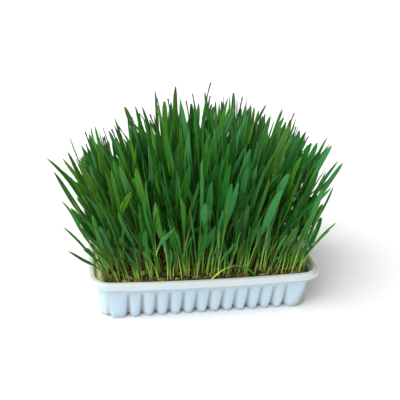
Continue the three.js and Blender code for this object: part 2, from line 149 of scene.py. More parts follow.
STATION_ALONG = np.array([0.0, 0.3, 0.64, 0.9, 1.0])
STATION_SPREAD = np.array([0.0, 0.2, 1.0, 0.78, 0.0])
STATION_THICK = np.array([1.5, 1.3, 1.0, 0.8, 0.0])

# Root x and y, heading, lean at the root and at the tip, length, width, facing.
STRAYS = (
    (-74, -16, 170, 12, 44, 92, 4.2, 50),
    (-73, -27, 175, 20, 34, 82, 5, 40),
    (-28, 21, 180, 2, 6, 124, 3.4, 10),
    (-14, 19, 200, 1, 5, 128, 5, -30),
    (-3, 22, 40, 2, 12, 131, 3.4, 30),
    (-74, -43.5, 186, 30, 40, 51, 2.6, 80),
    (-72.5, -46, 190, 40, 56, 38, 3.4, 70),
    (-74, -35, 180, 26, 32, 63, 3.6, 60),
    (75, -46.5, 345, 6, 14, 45, 3.8, 20),
    (75.5, -42.5, 5, 14, 54, 46, 3.2, 60),
    (73.5, -16, 0, 20, 31, 85, 4.4, 30),
)

SEED = 20431

LOOSE_KERNELS = 34
KERNEL_RUN = 143.0
KERNEL_OUT = 51.2
KERNEL_SCATTER = 0.3
KERNEL_TURN = 0.4
KERNEL_LENGTH = 6.8
KERNEL_WIDTH = 3.2
KERNEL_HEIGHT = 2.8
KERNEL_LIFT = 0.5

# ---- Where the camera stands, in millimetres and radians ----

CAMERA_PLACE = (-76.283, -348.324, 208.491)
CAMERA_YAW = -0.215233
CAMERA_PITCH = 0.368975
CAMERA_ROLL = 0.05897
CAMERA_FOCUS = 474.667676 / 400  # focal length as a share of the picture's width
SENSOR = 36.0


# ---- What a user may change ----


def colour(name, description, default):
    return FloatVectorProperty(
        name=name, description=description, default=default, subtype="COLOR", min=0, max=1, size=3
    )


def length(name, description, millimetres):
    return FloatProperty(
        name=name, description=description, default=millimetres * MM, unit="LENGTH", min=0
    )


def share(name, description, default):
    return FloatProperty(
        name=name, description=description, default=default, subtype="FACTOR", min=0, max=1
    )


def strength(name, description, default):
    return FloatProperty(name=name, description=description, default=default, min=0)


def number(name, description, default):
    return IntProperty(name=name, description=description, default=default, min=0)


class TrayLooks(bpy.types.PropertyGroup):
    """Sizes and colours of the tray."""

    skin: length("Sheet", "Thickness of the moulded plastic", 0.6)
    flange_round: length("Flange rounding", "Radius where the wall turns out into the flange", 1.2)
    lip_round: length("Lip rounding", "Inner radius where the flange turns down", 0.8)
    wall: colour("Wall", "Plastic of the fluted wall", (0.50, 0.65, 0.76))
    rim: colour("Rim", "Plastic of the flange and lip", (0.53, 0.575, 0.60))
    # Shade grey: painted shade, laid into the flutes and, darker, onto the wall's right end
    shade_grey: colour("Grime", "Dirt that has settled in the flutes", (0.36, 0.37, 0.30))
    # Foot: painted shade, a darker blue over the wall's lowest few millimetres, near the floor
    foot: colour("Foot", "Plastic where it is thickest, at the foot", (0.24, 0.34, 0.44))
    # Stain and glow: a yellow coat above the soil line, painted lighter to stand for light that comes
    # through the thin wall
    stain_and_glow: colour("Stain", "Film of soil and algae above the soil line", (0.80, 0.76, 0.42))
    # Right end shade: painted shade in yellow-grey on the rim at the tray's right end, which faces away
    # from the key light
    right_end_shade: colour("Aged", "Plastic that has yellowed", (0.44, 0.43, 0.26))


class BedLooks(bpy.types.PropertyGroup):
    """Counts and colours of what lies in the bed."""

    kernels: number("Kernels", "Loose kernels", 250)
    crumbs: number("Crumbs", "Crumbs of soil", 3200)
    rootlets: number("Rootlets", "Rootlets in the open", 420)
    soil: colour("Soil", "Moist soil", (0.012, 0.011, 0.004))
    dry_soil: colour("Dry soil", "Crumbs that have dried", (0.050, 0.040, 0.009))
    algae: colour("Algae", "Soil that has turned green", (0.105, 0.105, 0.012))
    kernel: colour("Kernel", "Skin of a sprouted kernel", (0.190, 0.136, 0.016))
    pale_kernel: colour("Pale kernel", "Skin of a kernel that has opened", (0.50, 0.38, 0.08))
    rootlet: colour("Rootlet", "Fine roots", (0.48, 0.40, 0.24))
    mat: colour("Mat", "Roots matted together at the left end", (0.72, 0.72, 0.36))


class ShootLooks(bpy.types.PropertyGroup):
    """Sizes and colours of the shoots."""

    blade: length("Blade", "Thickness of a leaf's blade", 0.34)
    midrib: length("Midrib", "How far the midrib stands out under the blade", 0.16)
    seconds: share("Second leaves", "Share of the shoots that have a second leaf", 0.9)
    slender: number("Slender", "Slender shoots per clump", 14)
    young: number("Young", "Young shoots per clump", 6)
    edging: number("Edging", "Shoots per clump along the front", 7)
    green: colour("Green", "A grown leaf", (0.006, 0.170, 0.008))
    deep_green: colour("Deep green", "The darkest leaves", (0.001, 0.052, 0.002))
    # Blue green: partly the bloom on the leaves, partly a painted sheen of the surroundings' light
    blue_green: colour("Blue green", "Leaves with a bloom on them", (0.036, 0.240, 0.066))
    yellow_green: colour("Yellow green", "The lightest leaves", (0.095, 0.260, 0.010))
    stem: colour("Stem", "Sheath at the foot of a shoot", (0.390, 0.610, 0.100))
    dried: colour("Dried", "Tips that have dried", (0.042, 0.032, 0.034))


class StageLooks(bpy.types.PropertyGroup):
    """Floor and light."""

    floor: colour("Floor", "The plain floor", (0.86, 0.86, 0.86))
    sky: strength("Surroundings", "Brightness all round", 0.48)
    key: strength("Key light", "Strength of the light from the front left", 4.5)
    fill: strength("Fill light", "Strength of the light from the front right", 0.1)


# ---- Seeded draws, as the solids were laid out with ----


class Draws:
    """Seeded numbers from 0 to 1, in the same order as the solids' own."""

    FACTOR = 1664525
    STEP = 1013904223
    RANGE = 2**32

    def __init__(self, seed):
        self.state = seed

    def __call__(self):
        self.state = (self.state * self.FACTOR + self.STEP) % self.RANGE
        return self.state / self.RANGE

    def between(self, low, high):
        return low + (high - low) * self()

    def within(self, reach):
        return reach * (2 * self() - 1)

    def centred(self):
        return self() + self() - 1


FULL_TURN = 6.28  # radians, as the pieces' own draws take it


def any_turn(draw):
    return draw.uniform(0, FULL_TURN)


# ---- Meshes ----


class Solids:
    """Gathers closed solids into one mesh, with what its finish reads at each point."""

    def __init__(self):
        self.points = []
        self.faces = []
        self.marks = {}
        self.count = 0

    def add(self, points, faces, **marks):
        self.points.append(points)
        self.faces += [block + self.count for block in faces]
        for mark, values in marks.items():
            values = np.broadcast_to(np.asarray(values, float), (len(points), 3))
            self.marks.setdefault(mark, []).append(values)
        self.count += len(points)


def add_mesh(name, points, faces, finish):
    """Makes a smooth object from points in metres and blocks of faces."""
    mesh = bpy.data.meshes.new(name)
    mesh.from_pydata(points.tolist(), [], [face for block in faces for face in block.tolist()])
    mesh.shade_smooth()
    mesh.materials.append(finish)
    thing = bpy.data.objects.new(name, mesh)
    bpy.context.scene.collection.objects.link(thing)
    return thing


def make_piece(name, solids, finish, nodes=()):
    """Makes a piece of the part, which rides on its one body."""
    piece = add_mesh(name, np.concatenate(solids.points) * MM, solids.faces, finish)
    for mark, values in solids.marks.items():
        attribute = piece.data.attributes.new(mark, "FLOAT_VECTOR", "POINT")
        attribute.data.foreach_set("vector", np.concatenate(values).ravel())
    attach(piece, BODY)
    if nodes:
        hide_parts(*nodes)


def band_faces(levels, around):
    """Quads between rings of equal count, each ring counter-clockwise seen from the next."""
    level, place = np.meshgrid(np.arange(levels - 1), np.arange(around), indexing="ij")
    a = level * around + place
    b = level * around + (place + 1) % around
    return np.stack([a, b, b + around, a + around], -1).reshape(-1, 4)


def fan_faces(ring, middle, flip=False):
    """Triangles from a ring's points to one middle point."""
    ring = np.asarray(ring)
    after = np.roll(ring, -1)
    pair = (after, ring) if flip else (ring, after)
    return np.stack([*pair, np.full(len(ring), middle)], -1)


def closed_faces(levels, around):
    """Faces of rings that close at two points more: first the foot's, then the tip's."""
    ring = np.arange(around)
    foot = levels * around
    return [
        band_faces(levels, around),
        fan_faces(ring, foot, flip=True),
        fan_faces(ring + foot - around, foot + 1),
    ]


def unit(vectors):
    return vectors / np.linalg.norm(vectors, axis=-1, keepdims=True)


def clipped(value):
    return min(max(value, 0), 1)


def smooth_step(low, high, value):
    part = np.clip((value - low) / (high - low), 0, 1)
    return part * part * (3 - 2 * part)


# ---- Plan outlines, as in the solids ----


def corner_arc(x, y, radius, start, steps):
    angle = start + np.linspace(0, math.pi / 2, steps + 1)
    return np.stack([x + radius * np.cos(angle), y + radius * np.sin(angle)], -1)


def bowed_outline(plan, long_side, short_side, corner_in):
    """A rounded rectangle with bowed sides.

    Each side is an array of place and recess, and corner_in is the recess round each corner of
    the left end, from the short side to the long one.
    """
    steps = len(corner_in) - 1
    half_length, half_width, corner, bow_long, bow_short = plan
    reach_x, reach_y = half_length - corner, half_width - corner
    x, in_x = long_side.T
    y, in_y = short_side.T
    front = half_width + bow_long * (1 - (x / reach_x) ** 2) - in_x
    end = half_length + bow_short * (1 - (y / reach_y) ** 2) - in_y
    half = math.pi / 2
    return np.concatenate(
        [
            corner_arc(-reach_x, -reach_y, corner - corner_in, math.pi, steps),
            np.stack([x, -front], -1),
            corner_arc(reach_x, -reach_y, corner, -half, steps),
            np.stack([end, y], -1),
            corner_arc(reach_x, reach_y, corner, 0, steps),
            np.stack([-x, front], -1),
            corner_arc(-reach_x, reach_y, corner - corner_in[::-1], half, steps),
            np.stack([-end, -y], -1),
        ]
    )


def wall_plan(z, out=0.0):
    """Size of the wall's plan at height z, moved outwards by out."""
    part = z / TRAY_HEIGHT
    return (
        (FOOT_LENGTH + (RIM_LENGTH - 2 * FLANGE - FOOT_LENGTH) * part) / 2 + out,
        (FOOT_WIDTH + (RIM_WIDTH - 2 * FLANGE - FOOT_WIDTH) * part) / 2 + out,
        FOOT_CORNER + (RIM_CORNER - FLANGE - FOOT_CORNER) * part + out,
        LONG_BOW * part,
        SHORT_BOW * part,
    )


# ---- Tray ----

FLUTE_TOP = 22.0  # the thin sheet's flutes are a little lower and narrower than the solids'
MOUTH_LOW = 4.5
MOUTH_HIGH = 1.6
FLUTE_STATIONS = (0, 0.5, 1.0, 1.4, 1.8, 2.3, 3.0, 3.9)  # from a flute's middle to its rib
TRAY_CORNER_STEPS = 20
CORNER_FLUTE = 2.2  # depth of the flute in the two corners of the left end at the floor
CORNER_FLUTE_TOP = 8.0
CORNER_FLUTE_SHIFT = 3.8  # of this flute from the middle of the corner towards the long side
ROUNDING_STEPS = 5
FLANK_SPREAD = 1.2  # a smooth flank is this much wider than a straight one
RUN_OUT = 0.5  # power by which a flute's depth holds up to its rounded top
RIB_CROWN = 2.6  # how far the middle of a rib stands out over its edges
CROWN_POWER = 1.5
RIB_DOME = 5.0  # height of a rib's rounded top
RIB_STEP = 0.3  # how far that top stands out over the band above it
BAND_END = (24.5, 28.0)  # heights between which the band comes out to the flange
FOOT_ARCH = 2.2  # rise of the sheet's foot under a flute
CORNER_LIFT = 2.6  # rise of the sheet's foot in each corner
CORNER_LIFT_FROM = (0.5, 6.0)
FOOT_ARCH_RUN = 8.0  # height at which that rise has died out
CLEAN_FROM = (50.0, 80.0)  # the yellow coat above the soil line and its painted glow thin out towards the tray's right end
RIGHT_END_SHADE_FROM = (66.0, 72.5)  # painted shade on the right end, which faces away from the key light: grey on the wall, yellow-grey on the rim
RIGHT_END_SHADE_SLANT = 0.32  # as far as the wall leans outwards
RIGHT_END_SHADE_RIM = (TRAY_HEIGHT - 3, TRAY_HEIGHT - 1)  # heights over which that shows inside the tray
LIP_FOOT = TRAY_HEIGHT - LIP_DROP
RIM_FROM = (LIP_FOOT - 0.6, LIP_FOOT + 0.4)  # heights over which the rim's colour sets in
FILM_BY_RING = ((5, 9, 10, 14), (0.05, 0.15, 0.6, 1))  # rings from the lip, and the share of the yellow coat and its painted glow
FLUTE_SHADE_PAST = 0.1  # the share of a flute's depth from which painted shade darkens it
FLUTE_SHADE_POWER = 0.3  # how evenly it holds up the height of the flute
FLOOR_INSET = 5.5  # the flat of the floor ends this far inside the foot's rounding
FLOOR_RINGS = (0.1, 0.4, 0.7, 1)  # as shares of that flat
FOOT_RINGS = ((3.5, 0.3), (2, 0.6), (0.8, 0.85))  # inset from the rounding, share of the flutes' depth
WALL_RINGS = (10, 7, 7)  # below the ribs' rounded tops, over them and above them
LIP_RINGS = (0.33, 0.66, 0.92, 1)  # as shares of the lip's drop
RIM_RINGS = 2 * ROUNDING_STEPS + 1  # rings of the lower face that have the rim's plastic


def flute_places(count, pitch):
    """Places along a side, close together across each flute."""
    offsets = sorted({*FLUTE_STATIONS, *(-each for each in FLUTE_STATIONS), pitch / 2})
    places = [-count * pitch / 2]
    for flute in range(count):
        middle = (flute - (count - 1) / 2) * pitch
        places += [middle + offset for offset in offsets]
    return np.array(places)


def flute_recess(places, count, pitch, z):
    """How deep the flutes are pressed in at each place along a side, at height z.

    The ribs between them end in rounded tops, which stand out over the band above.
    """
    rise = clipped(z / FLUTE_TOP)
    mouth = (MOUTH_LOW + (MOUTH_HIGH - MOUTH_LOW) * rise) / 2 * FLANK_SPREAD
    flank = mouth - FLUTE_BED / 5
    outermost = (count - 1) / 2
    nearest = np.round(places / pitch + outermost).clip(0, count - 1) - outermost
    away = np.abs(places - nearest * pitch)
    dome = clipped((z - FLUTE_TOP + RIB_DOME) / RIB_DOME)
    opened = mouth + (pitch / 2 + flank - mouth) * (1 - math.sqrt(1 - dome**2))
    edge = np.where(np.abs(places) > outermost * pitch, mouth, opened)
    hollow = 1 - smooth_step(0, flank, away - edge + flank)
    crown = np.clip(1 - 2 * away / pitch, 0, 1) ** CROWN_POWER
    deep = (1 - rise) ** RUN_OUT
    step = RIB_STEP * (1 - smooth_step(*BAND_END, z))
    pressed = FLUTE_DEPTH - RIB_CROWN - step
    return hollow * (step + pressed * deep) + RIB_CROWN * crown * deep


def corner_recess(z):
    """How deep the flute in each corner is pressed in, from the short side to the long one."""
    around = np.linspace(-1, 1, TRAY_CORNER_STEPS + 1) * FOOT_CORNER * math.pi / 4
    away = np.abs(around - CORNER_FLUTE_SHIFT)
    hollow = 1 - smooth_step(FLUTE_BED / 2, MOUTH_LOW / 2 * FLANK_SPREAD, away)
    return CORNER_FLUTE * max(1 - z / CORNER_FLUTE_TOP, 0) ** RUN_OUT * hollow


def sides_at(z, pressed=1.0):
    """Places and recesses along a long and a short side, and the recess round a corner."""
    sides = []
    for count, pitch, size in (
        (LONG_FLUTES, LONG_PITCH, FOOT_LENGTH),
        (SHORT_FLUTES, SHORT_PITCH, FOOT_WIDTH),
    ):
        places = flute_places(count, pitch)
        places = places[np.abs(places) < size / 2 - FOOT_CORNER]
        sides.append(np.stack([places, pressed * flute_recess(places, count, pitch, z)], -1))
    return *sides, pressed * corner_recess(z)


def recess_round(sides):
    """The recess at every point of the wall's outline, in the order of bowed_outline."""
    long_in, short_in, corner_in = sides[0][:, 1], sides[1][:, 1], sides[2]
    plain = 0 * corner_in
    return np.concatenate([corner_in, long_in, plain, short_in, plain, long_in, corner_in[::-1], short_in])


def corner_distance(plan):
    """How far each point of the foot's outline is from the straight stretches of all its sides."""
    past_x = np.abs(plan[:, 0]) - (FOOT_LENGTH / 2 - FOOT_CORNER)
    past_y = np.abs(plan[:, 1]) - (FOOT_WIDTH / 2 - FOOT_CORNER)
    return np.minimum(past_x, past_y)


def tray_ring(plan_z, out, z, pressed=1.0):
    """The wall's outline at a height; pressed is how much of the flutes' depth shows."""
    sides = sides_at(z, pressed)
    plan = bowed_outline(wall_plan(plan_z, out), *sides)
    arch = FOOT_ARCH * np.clip(recess_round(sides) / FLUTE_DEPTH, 0, 1)
    lift = CORNER_LIFT * pressed * smooth_step(*CORNER_LIFT_FROM, corner_distance(plan))
    return np.column_stack([plan, z + (arch + lift) * max(1 - z / FOOT_ARCH_RUN, 0) ** 2])


def tray_rings(skin, flange_round, lip_round):
    """The sheet's lower face as rings, from the floor out, up the wall and over to the lip."""
    plain = tray_ring(0, -FOOT_BEVEL - FLOOR_INSET, 0, 0)
    rings = [plain * [reach, reach, 1] for reach in FLOOR_RINGS]
    rings += [tray_ring(0, -FOOT_BEVEL - inset, 0, pressed) for inset, pressed in FOOT_RINGS]
    turns = np.linspace(0, math.pi / 2, ROUNDING_STEPS)
    for turn in turns:
        z = FOOT_BEVEL * (1 - math.cos(turn))
        rings.append(tray_ring(z, -FOOT_BEVEL * (1 - math.sin(turn)), z))
    under_flange = TRAY_HEIGHT - skin
    wall_end = under_flange - flange_round
    ends = FOOT_BEVEL, FLUTE_TOP - RIB_DOME, FLUTE_TOP, wall_end
    for low, high, steps in zip(ends, ends[1:], WALL_RINGS):
        rings += [tray_ring(z, 0, z) for z in np.linspace(low, high, steps)[1:]]
    lip_in = FLANGE - LIP_FLARE - skin
    lip_top = under_flange - lip_round
    over = [
        (flange_round * (1 - math.cos(turn)), wall_end + flange_round * math.sin(turn))
        for turn in turns[1:]
    ]
    over += [
        (lip_in - lip_round * (1 - math.sin(turn)), under_flange - lip_round * (1 - math.cos(turn)))
        for turn in turns
    ]
    over += [(lip_in + LIP_FLARE * part, lip_top + (LIP_FOOT - lip_top) * part) for part in LIP_RINGS]
    return np.array(rings + [tray_ring(TRAY_HEIGHT, out, z) for out, z in over])


def sheet_normals(rings):
    """Normals on the lower face of a sheet that is given as rings."""
    along = np.roll(rings, -1, axis=1) - np.roll(rings, 1, axis=1)
    across = np.gradient(rings, axis=0)
    return unit(np.cross(along, across))


def tray_marks(points, levels, around):
    """What the plastic's finish reads: where the yellow coat with its painted glow lies, the rim, and the
    painted shade in the flutes at each point, and the painted shade of the right end.
    """
    count = levels * around
    x, height = points[:, 0], points[:, 2]
    film_and_glow, flute_shade, beyond_wall = np.zeros((3, len(points)))
    film_and_glow[count : 2 * count] = np.repeat(np.interp(levels - np.arange(levels), *FILM_BY_RING), around)
    film_and_glow *= 1 - smooth_step(*CLEAN_FROM, x)
    hollow = np.clip(recess_round(sides_at(0)) / FLUTE_DEPTH - FLUTE_SHADE_PAST, 0, 1)
    below_top = np.clip(1 - height[:count] / FLUTE_TOP, 0, 1) ** FLUTE_SHADE_POWER
    flute_shade[:count] = np.tile(hollow, levels) * below_top
    beyond_wall[:count] = np.repeat(np.arange(levels) >= levels - RIM_RINGS, around)
    beyond_wall[count : 2 * count] = 1
    rim = smooth_step(*RIM_FROM, height) * beyond_wall
    right_end_shade = smooth_step(*RIGHT_END_SHADE_FROM, x - RIGHT_END_SHADE_SLANT * height)
    right_end_shade[count:] *= smooth_step(*RIGHT_END_SHADE_RIM, height[count:])
    return {"place": np.column_stack([film_and_glow, rim, flute_shade]), "age": np.column_stack([right_end_shade, right_end_shade, right_end_shade])}


def tray_solids(looks):
    """The moulded sheet: its lower face, its upper face and the edge of the lip between them."""
    skin = looks.skin / MM
    lower = tray_rings(skin, looks.flange_round / MM, looks.lip_round / MM)
    upper = lower - sheet_normals(lower) * skin
    levels, around = lower.shape[:2]
    count = levels * around
    points = np.concatenate([lower.reshape(-1, 3), upper.reshape(-1, 3), [[0, 0, 0], [0, 0, skin]]])
    below = band_faces(levels, around)
    lip = band_faces(2, around)
    lip = np.where(lip < around, lip + count - around, lip + 2 * count - 2 * around)
    ring = np.arange(around)
    fans = fan_faces(ring, 2 * count, flip=True), fan_faces(ring + count, 2 * count + 1)
    solids = Solids()
    faces = [below, below[:, ::-1] + count, lip, *fans]
    solids.add(points, faces, **tray_marks(points, levels, around))
    return solids


# ---- Bed ----

BED_RINGS = 56
BED_STEP = 1.8
MAT_SHRINK = 2.4  # the mat of roots has shrunk away from the tray's right end
MAT_DROP = 1.6  # and its top is rounded off there
MAT_END = (73.0, 80.0)
ROOTS_SHOW = (-76.5 * MM, -80.5 * MM)  # where the bare mat of roots shows at the left end
RELIEF = ((0.11, 3.7, 0.7), (0.42, 9.1, 1.0), (1.1, 5.3, 0.5))  # scale, layer and height of heaps
PLUG_EDGE = 0.8  # how far the rise of a clump's plug reaches past the solid one
PLUG_SLOPE = 2.2  # the width over which that rise sets in
SETTLED = 0.3  # how far the soil lies under the solid bed's level
BED_SIDES = (70, 42)  # half the straight stretches of its long and short sides
BED_CORNER_STEPS = 8
BED_INSET = 0.75  # of its edge from the wall
BED_FOOT_INSET = 2.5  # and more at its foot
BED_FLATTER = 0.75  # how much less it heaps up right at the wall
AT_WALL = (0.96, 1)  # as shares of the way there
BED_MIDDLE = 0.01  # the innermost ring, as a share of the outline


def bed_rise(x, y):
    """Height of the soil over the bed's level: the clumps' plugs, heaps and hollows."""
    rise = 0.0
    for plug_x, plug_y, plug_rise in clump_places():
        in_x = CLUMP_LENGTH / 2 + PLUG_EDGE - abs(x - plug_x)
        in_y = CLUMP_WIDTH / 2 + PLUG_EDGE - abs(y - plug_y)
        if in_x > 0 and in_y > 0:
            rise = max(rise, plug_rise * smooth_step(0, PLUG_SLOPE, min(in_x, in_y)))
    for scale, layer, height in RELIEF:
        rise += height * noise.noise(Vector((x * scale, y * scale, layer)))
    return rise - MAT_DROP * smooth_step(*MAT_END, x)


def ground(x, y):
    """Height of the soil at a place."""
    return BED_TOP - SETTLED + bed_rise(x, y)


def bed_ring(z, out):
    """The soil's outline at a height, moved outwards from the wall by out."""
    sides = []
    for reach in BED_SIDES:
        places = np.linspace(-reach, reach, round(2 * reach / BED_STEP))
        sides.append(np.column_stack([places, np.zeros(len(places))]))
    plan = bowed_outline(wall_plan(z, out), *sides, np.zeros(BED_CORNER_STEPS + 1))
    plan[:, 0] -= MAT_SHRINK * smooth_step(*MAT_END, plan[:, 0])
    return np.column_stack([plan, np.full(len(plan), z)])


def bed_solids():
    """The soil: its top follows the wall, and its foot stays clear of the flutes."""
    floor = SHEET + GAP + FOOT_ARCH
    below_flutes = -SHEET - 2 * GAP - FLUTE_DEPTH - RIB_CROWN
    rings = [
        bed_ring(floor, below_flutes - BED_FOOT_INSET),
        bed_ring(FLUTE_TOP - 1, below_flutes + 1),
        bed_ring(FLUTE_TOP + 1, -BED_INSET),
    ]
    edge = bed_ring(BED_TOP, -BED_INSET)
    for reach in np.linspace(1, BED_MIDDLE, BED_RINGS):
        level = edge * [reach, reach, 1]
        from_wall = 1 - BED_FLATTER * smooth_step(*AT_WALL, reach)
        level[:, 2] += [bed_rise(x, y) * from_wall - SETTLED for x, y, _ in level.tolist()]
        rings.append(level)
    points = np.concatenate([*rings, [[0, 0, floor], [0, 0, rings[-1][:, 2].mean()]]])
    solids = Solids()
    solids.add(points, closed_faces(len(rings), len(edge)))
    return solids


PLACE_INSET = 2.0  # how far from the wall things lie on the bed


def bed_place(draw, reach=0.985):
    """A random place in the bed's plan."""
    half_length, half_width, corner, bow_long, bow_short = wall_plan(BED_TOP, -PLACE_INSET)
    half_length -= MAT_SHRINK
    while True:
        x = draw.uniform(-1, 1) * (half_length + bow_short) * reach
        y = draw.uniform(-1, 1) * (half_width + bow_long) * reach
        edge_x = max(abs(x) - (half_length - corner), 0)
        edge_y = max(abs(y) - (half_width - corner), 0)
        if math.hypot(edge_x, edge_y) < corner:
            return x, y


CRUMB_SMALLEST = 0.35
CRUMB_SPREAD = 1.3  # from the smallest to the largest, and most are small
CRUMB_ROUGH = 0.28  # how far its corners stand in or out
CRUMB_OUT = 0.35  # how far its middle stands out of the soil


def crumb_solids(looks):
    """Crumbs of soil: small many-sided lumps, partly sunk."""
    draw = random.Random(SEED + 31)
    solids = Solids()
    points, faces = icosahedron()
    for _ in range(looks.crumbs):
        x, y = bed_place(draw)
        size = CRUMB_SMALLEST + CRUMB_SPREAD * draw.random() ** 4
        lump = points * [size * draw.uniform(0.8, 1.3), size, size * draw.uniform(0.6, 1)]
        lump = lump * (1 + CRUMB_ROUGH * np.array([draw.uniform(-1, 1) for _ in points]))[:, None]
        lump = turned(lump, any_turn(draw), 0, 0)
        place = [x, y, ground(x, y) + size * CRUMB_OUT]
        solids.add(lump + place, [faces], tone=[draw.random(), draw.random(), 0])
    return solids


def icosahedron():
    """The corners and faces of a solid with twenty equal sides, at a radius of 1."""
    gold = (1 + math.sqrt(5)) / 2
    points = []
    for a in (-1, 1):
        for b in (-gold, gold):
            points += [(0, a, b), (a, b, 0), (b, 0, a)]
    points = np.array(points) / math.hypot(1, gold)
    near = 2 / math.hypot(1, gold) * 1.01
    faces = []
    for i in range(12):
        for j in range(i + 1, 12):
            for k in range(j + 1, 12):
                trio = points[[i, j, k]]
                sides = np.linalg.norm(trio - np.roll(trio, 1, axis=0), axis=1)
                if sides.max() < near:
                    out = np.dot(np.cross(trio[1] - trio[0], trio[2] - trio[0]), trio[0]) > 0
                    faces.append((i, j, k) if out else (i, k, j))
    return points, np.array(faces)


KERNEL_AROUND = 9
KERNEL_LEVELS = 7
KERNEL_RINGS = (-0.9, 0.93)  # the first and the last, as shares of half its length
KERNEL_BLUNT = 2.4  # power of its rounding along it
KERNEL_TAPER = 0.12
CREASE_DEPTH = 0.34
CREASE_WIDTH = 0.42
KERNEL_BACK = 2.4  # from the foot of its shoot to its middle
KERNEL_SUNK = 0.4  # of those along the edge, into the soil
KERNEL_TILT = 1.6  # how much higher a steep one lies


def kernel_form():
    """A wheat kernel along +X: blunt at the germ, with a crease along its underside."""
    angle = np.arange(KERNEL_AROUND) / KERNEL_AROUND * 2 * math.pi
    crease = 1 - CREASE_DEPTH * np.exp(-(((angle - 1.5 * math.pi) / CREASE_WIDTH) ** 2))
    rings = []
    for along in np.linspace(*KERNEL_RINGS, KERNEL_LEVELS):
        girth = (1 - abs(along) ** KERNEL_BLUNT) ** 0.5 * (1 - KERNEL_TAPER * along)
        y = np.cos(angle) * KERNEL_WIDTH / 2 * girth * crease
        z = np.sin(angle) * KERNEL_HEIGHT / 2 * girth * crease
        rings.append(np.column_stack([np.full(KERNEL_AROUND, along * KERNEL_LENGTH / 2), y, z]))
    ends = [[-KERNEL_LENGTH / 2, 0, 0], [KERNEL_LENGTH / 2, 0, 0]]
    return np.concatenate([*rings, ends]), closed_faces(KERNEL_LEVELS, KERNEL_AROUND)


def turned(points, yaw, pitch, roll):
    turn = Matrix.Rotation(yaw, 3, "Z") @ Matrix.Rotation(pitch, 3, "Y") @ Matrix.Rotation(roll, 3, "X")
    return points @ np.array(turn).T


def kernel_solids(looks):
    """The kernels: those of the solid bed's edge, one at the foot of each shoot, and spare ones."""
    solids = Solids()
    points, faces = kernel_form()
    along = points[:, 0] / KERNEL_LENGTH + 0.5
    draws = Draws(SEED + 2)
    draw = random.Random(SEED + 32)

    def lay(x, y, lift, yaw, pitch, roll, size):
        # the third number, the height within the kernel, carries the painted light and shade of its finish
        marks = np.column_stack([along, np.full(len(points), draw.random()), points[:, 2] / KERNEL_HEIGHT])
        place = [x, y, ground(x, y) + lift]
        solids.add(turned(points * size, yaw, pitch, roll) + place, faces, kernel=marks)

    for index in range(LOOSE_KERNELS):
        side = -1 if index % 2 == 0 else 1
        x = ((index + 0.5) / LOOSE_KERNELS - 0.5) * KERNEL_RUN
        y = side * (KERNEL_OUT + draws.within(KERNEL_SCATTER))
        yaw = draws.within(KERNEL_TURN)
        lay(x, y, KERNEL_LIFT - KERNEL_SUNK, yaw, draw.uniform(-0.5, 0.5), any_turn(draw), 1)
    for shoot in stand_of_shoots():
        x, y = shoot["root"]
        yaw = any_turn(draw)
        x -= KERNEL_BACK * math.cos(yaw)
        y -= KERNEL_BACK * math.sin(yaw)
        pitch = draw.uniform(-1.5, 0.2)
        lay(x, y, draw.uniform(-0.5, 0.8), yaw, pitch, any_turn(draw), draw.uniform(0.8, 1.05))
    for _ in range(looks.kernels):
        x, y = bed_place(draw, 0.96)
        pitch = draw.uniform(-1.5, 1.5)
        turn = any_turn(draw), pitch, any_turn(draw)
        lift = draw.uniform(-0.7, 0.7) + KERNEL_TILT * abs(math.sin(pitch))
        lay(x, y, lift, *turn, draw.uniform(0.8, 1.1))
    return solids


THREAD_AROUND = 5
ROOTLET_STEPS = 8
ROOTLET_LEVEL = BED_TOP - 0.4
ROOTLET_END = -1.2  # how far its two ends go down
ROOTLET_REACH = (80, 52)


def thread_solid(solids, path, radius, **marks):
    """A fine round thread along a path, pointed at both ends."""
    path = np.asarray(path)
    run = unit(np.gradient(path, axis=0))
    side = unit(np.cross(run, [0, 0, 1]))
    up = np.cross(side, run)
    turns = np.arange(THREAD_AROUND) / THREAD_AROUND * 2 * math.pi
    rings = [
        path[i] + radius * (np.cos(turns)[:, None] * side[i] - np.sin(turns)[:, None] * up[i])
        for i in range(1, len(path) - 1)
    ]
    points = np.concatenate([*rings, [path[0], path[-1]]])
    faces = [block[:, ::-1] for block in closed_faces(len(rings), THREAD_AROUND)]
    solids.add(points, faces, **marks)


def rootlet_solids(looks):
    """Fine roots that loop out of the soil and back into it."""
    draw = random.Random(SEED + 33)
    solids = Solids()
    for _ in range(looks.rootlets):
        x, y = bed_place(draw, 0.95)
        heading = any_turn(draw)
        bend = draw.uniform(-0.28, 0.28)
        reach = draw.uniform(0.7, 1.7)
        height = draw.uniform(0.5, 2.2)
        path = []
        for step in range(ROOTLET_STEPS + 1):
            z = ROOTLET_LEVEL + bed_rise(x, y) + height * math.sin(math.pi * step / ROOTLET_STEPS)
            path.append((x, y, z + (ROOTLET_END if step in (0, ROOTLET_STEPS) else 0)))
            x += reach * math.cos(heading)
            y += reach * math.sin(heading)
            heading += bend + draw.uniform(-0.2, 0.2)
        if abs(x) < ROOTLET_REACH[0] and abs(y) < ROOTLET_REACH[1]:
            thread_solid(solids, path, draw.uniform(0.13, 0.24), tone=[draw.random(), 0, 0])
    return solids


# ---- Layout of the stand, as in the solids ----


@cache
def clump_places():
    """The middle of each clump, and how far its plug stands above the bed."""
    draws = Draws(SEED)
    places = []
    for row in range(ROWS):
        for column in range(COLUMNS):
            x = (column - (COLUMNS - 1) / 2) * CLUMP_PITCH_X + draws.within(CLUMP_SHIFT)
            y = (row - (ROWS - 1) / 2) * CLUMP_PITCH_Y + draws.within(CLUMP_SHIFT)
            places.append((x, y, PLUG_RISE * draws()))
    return places


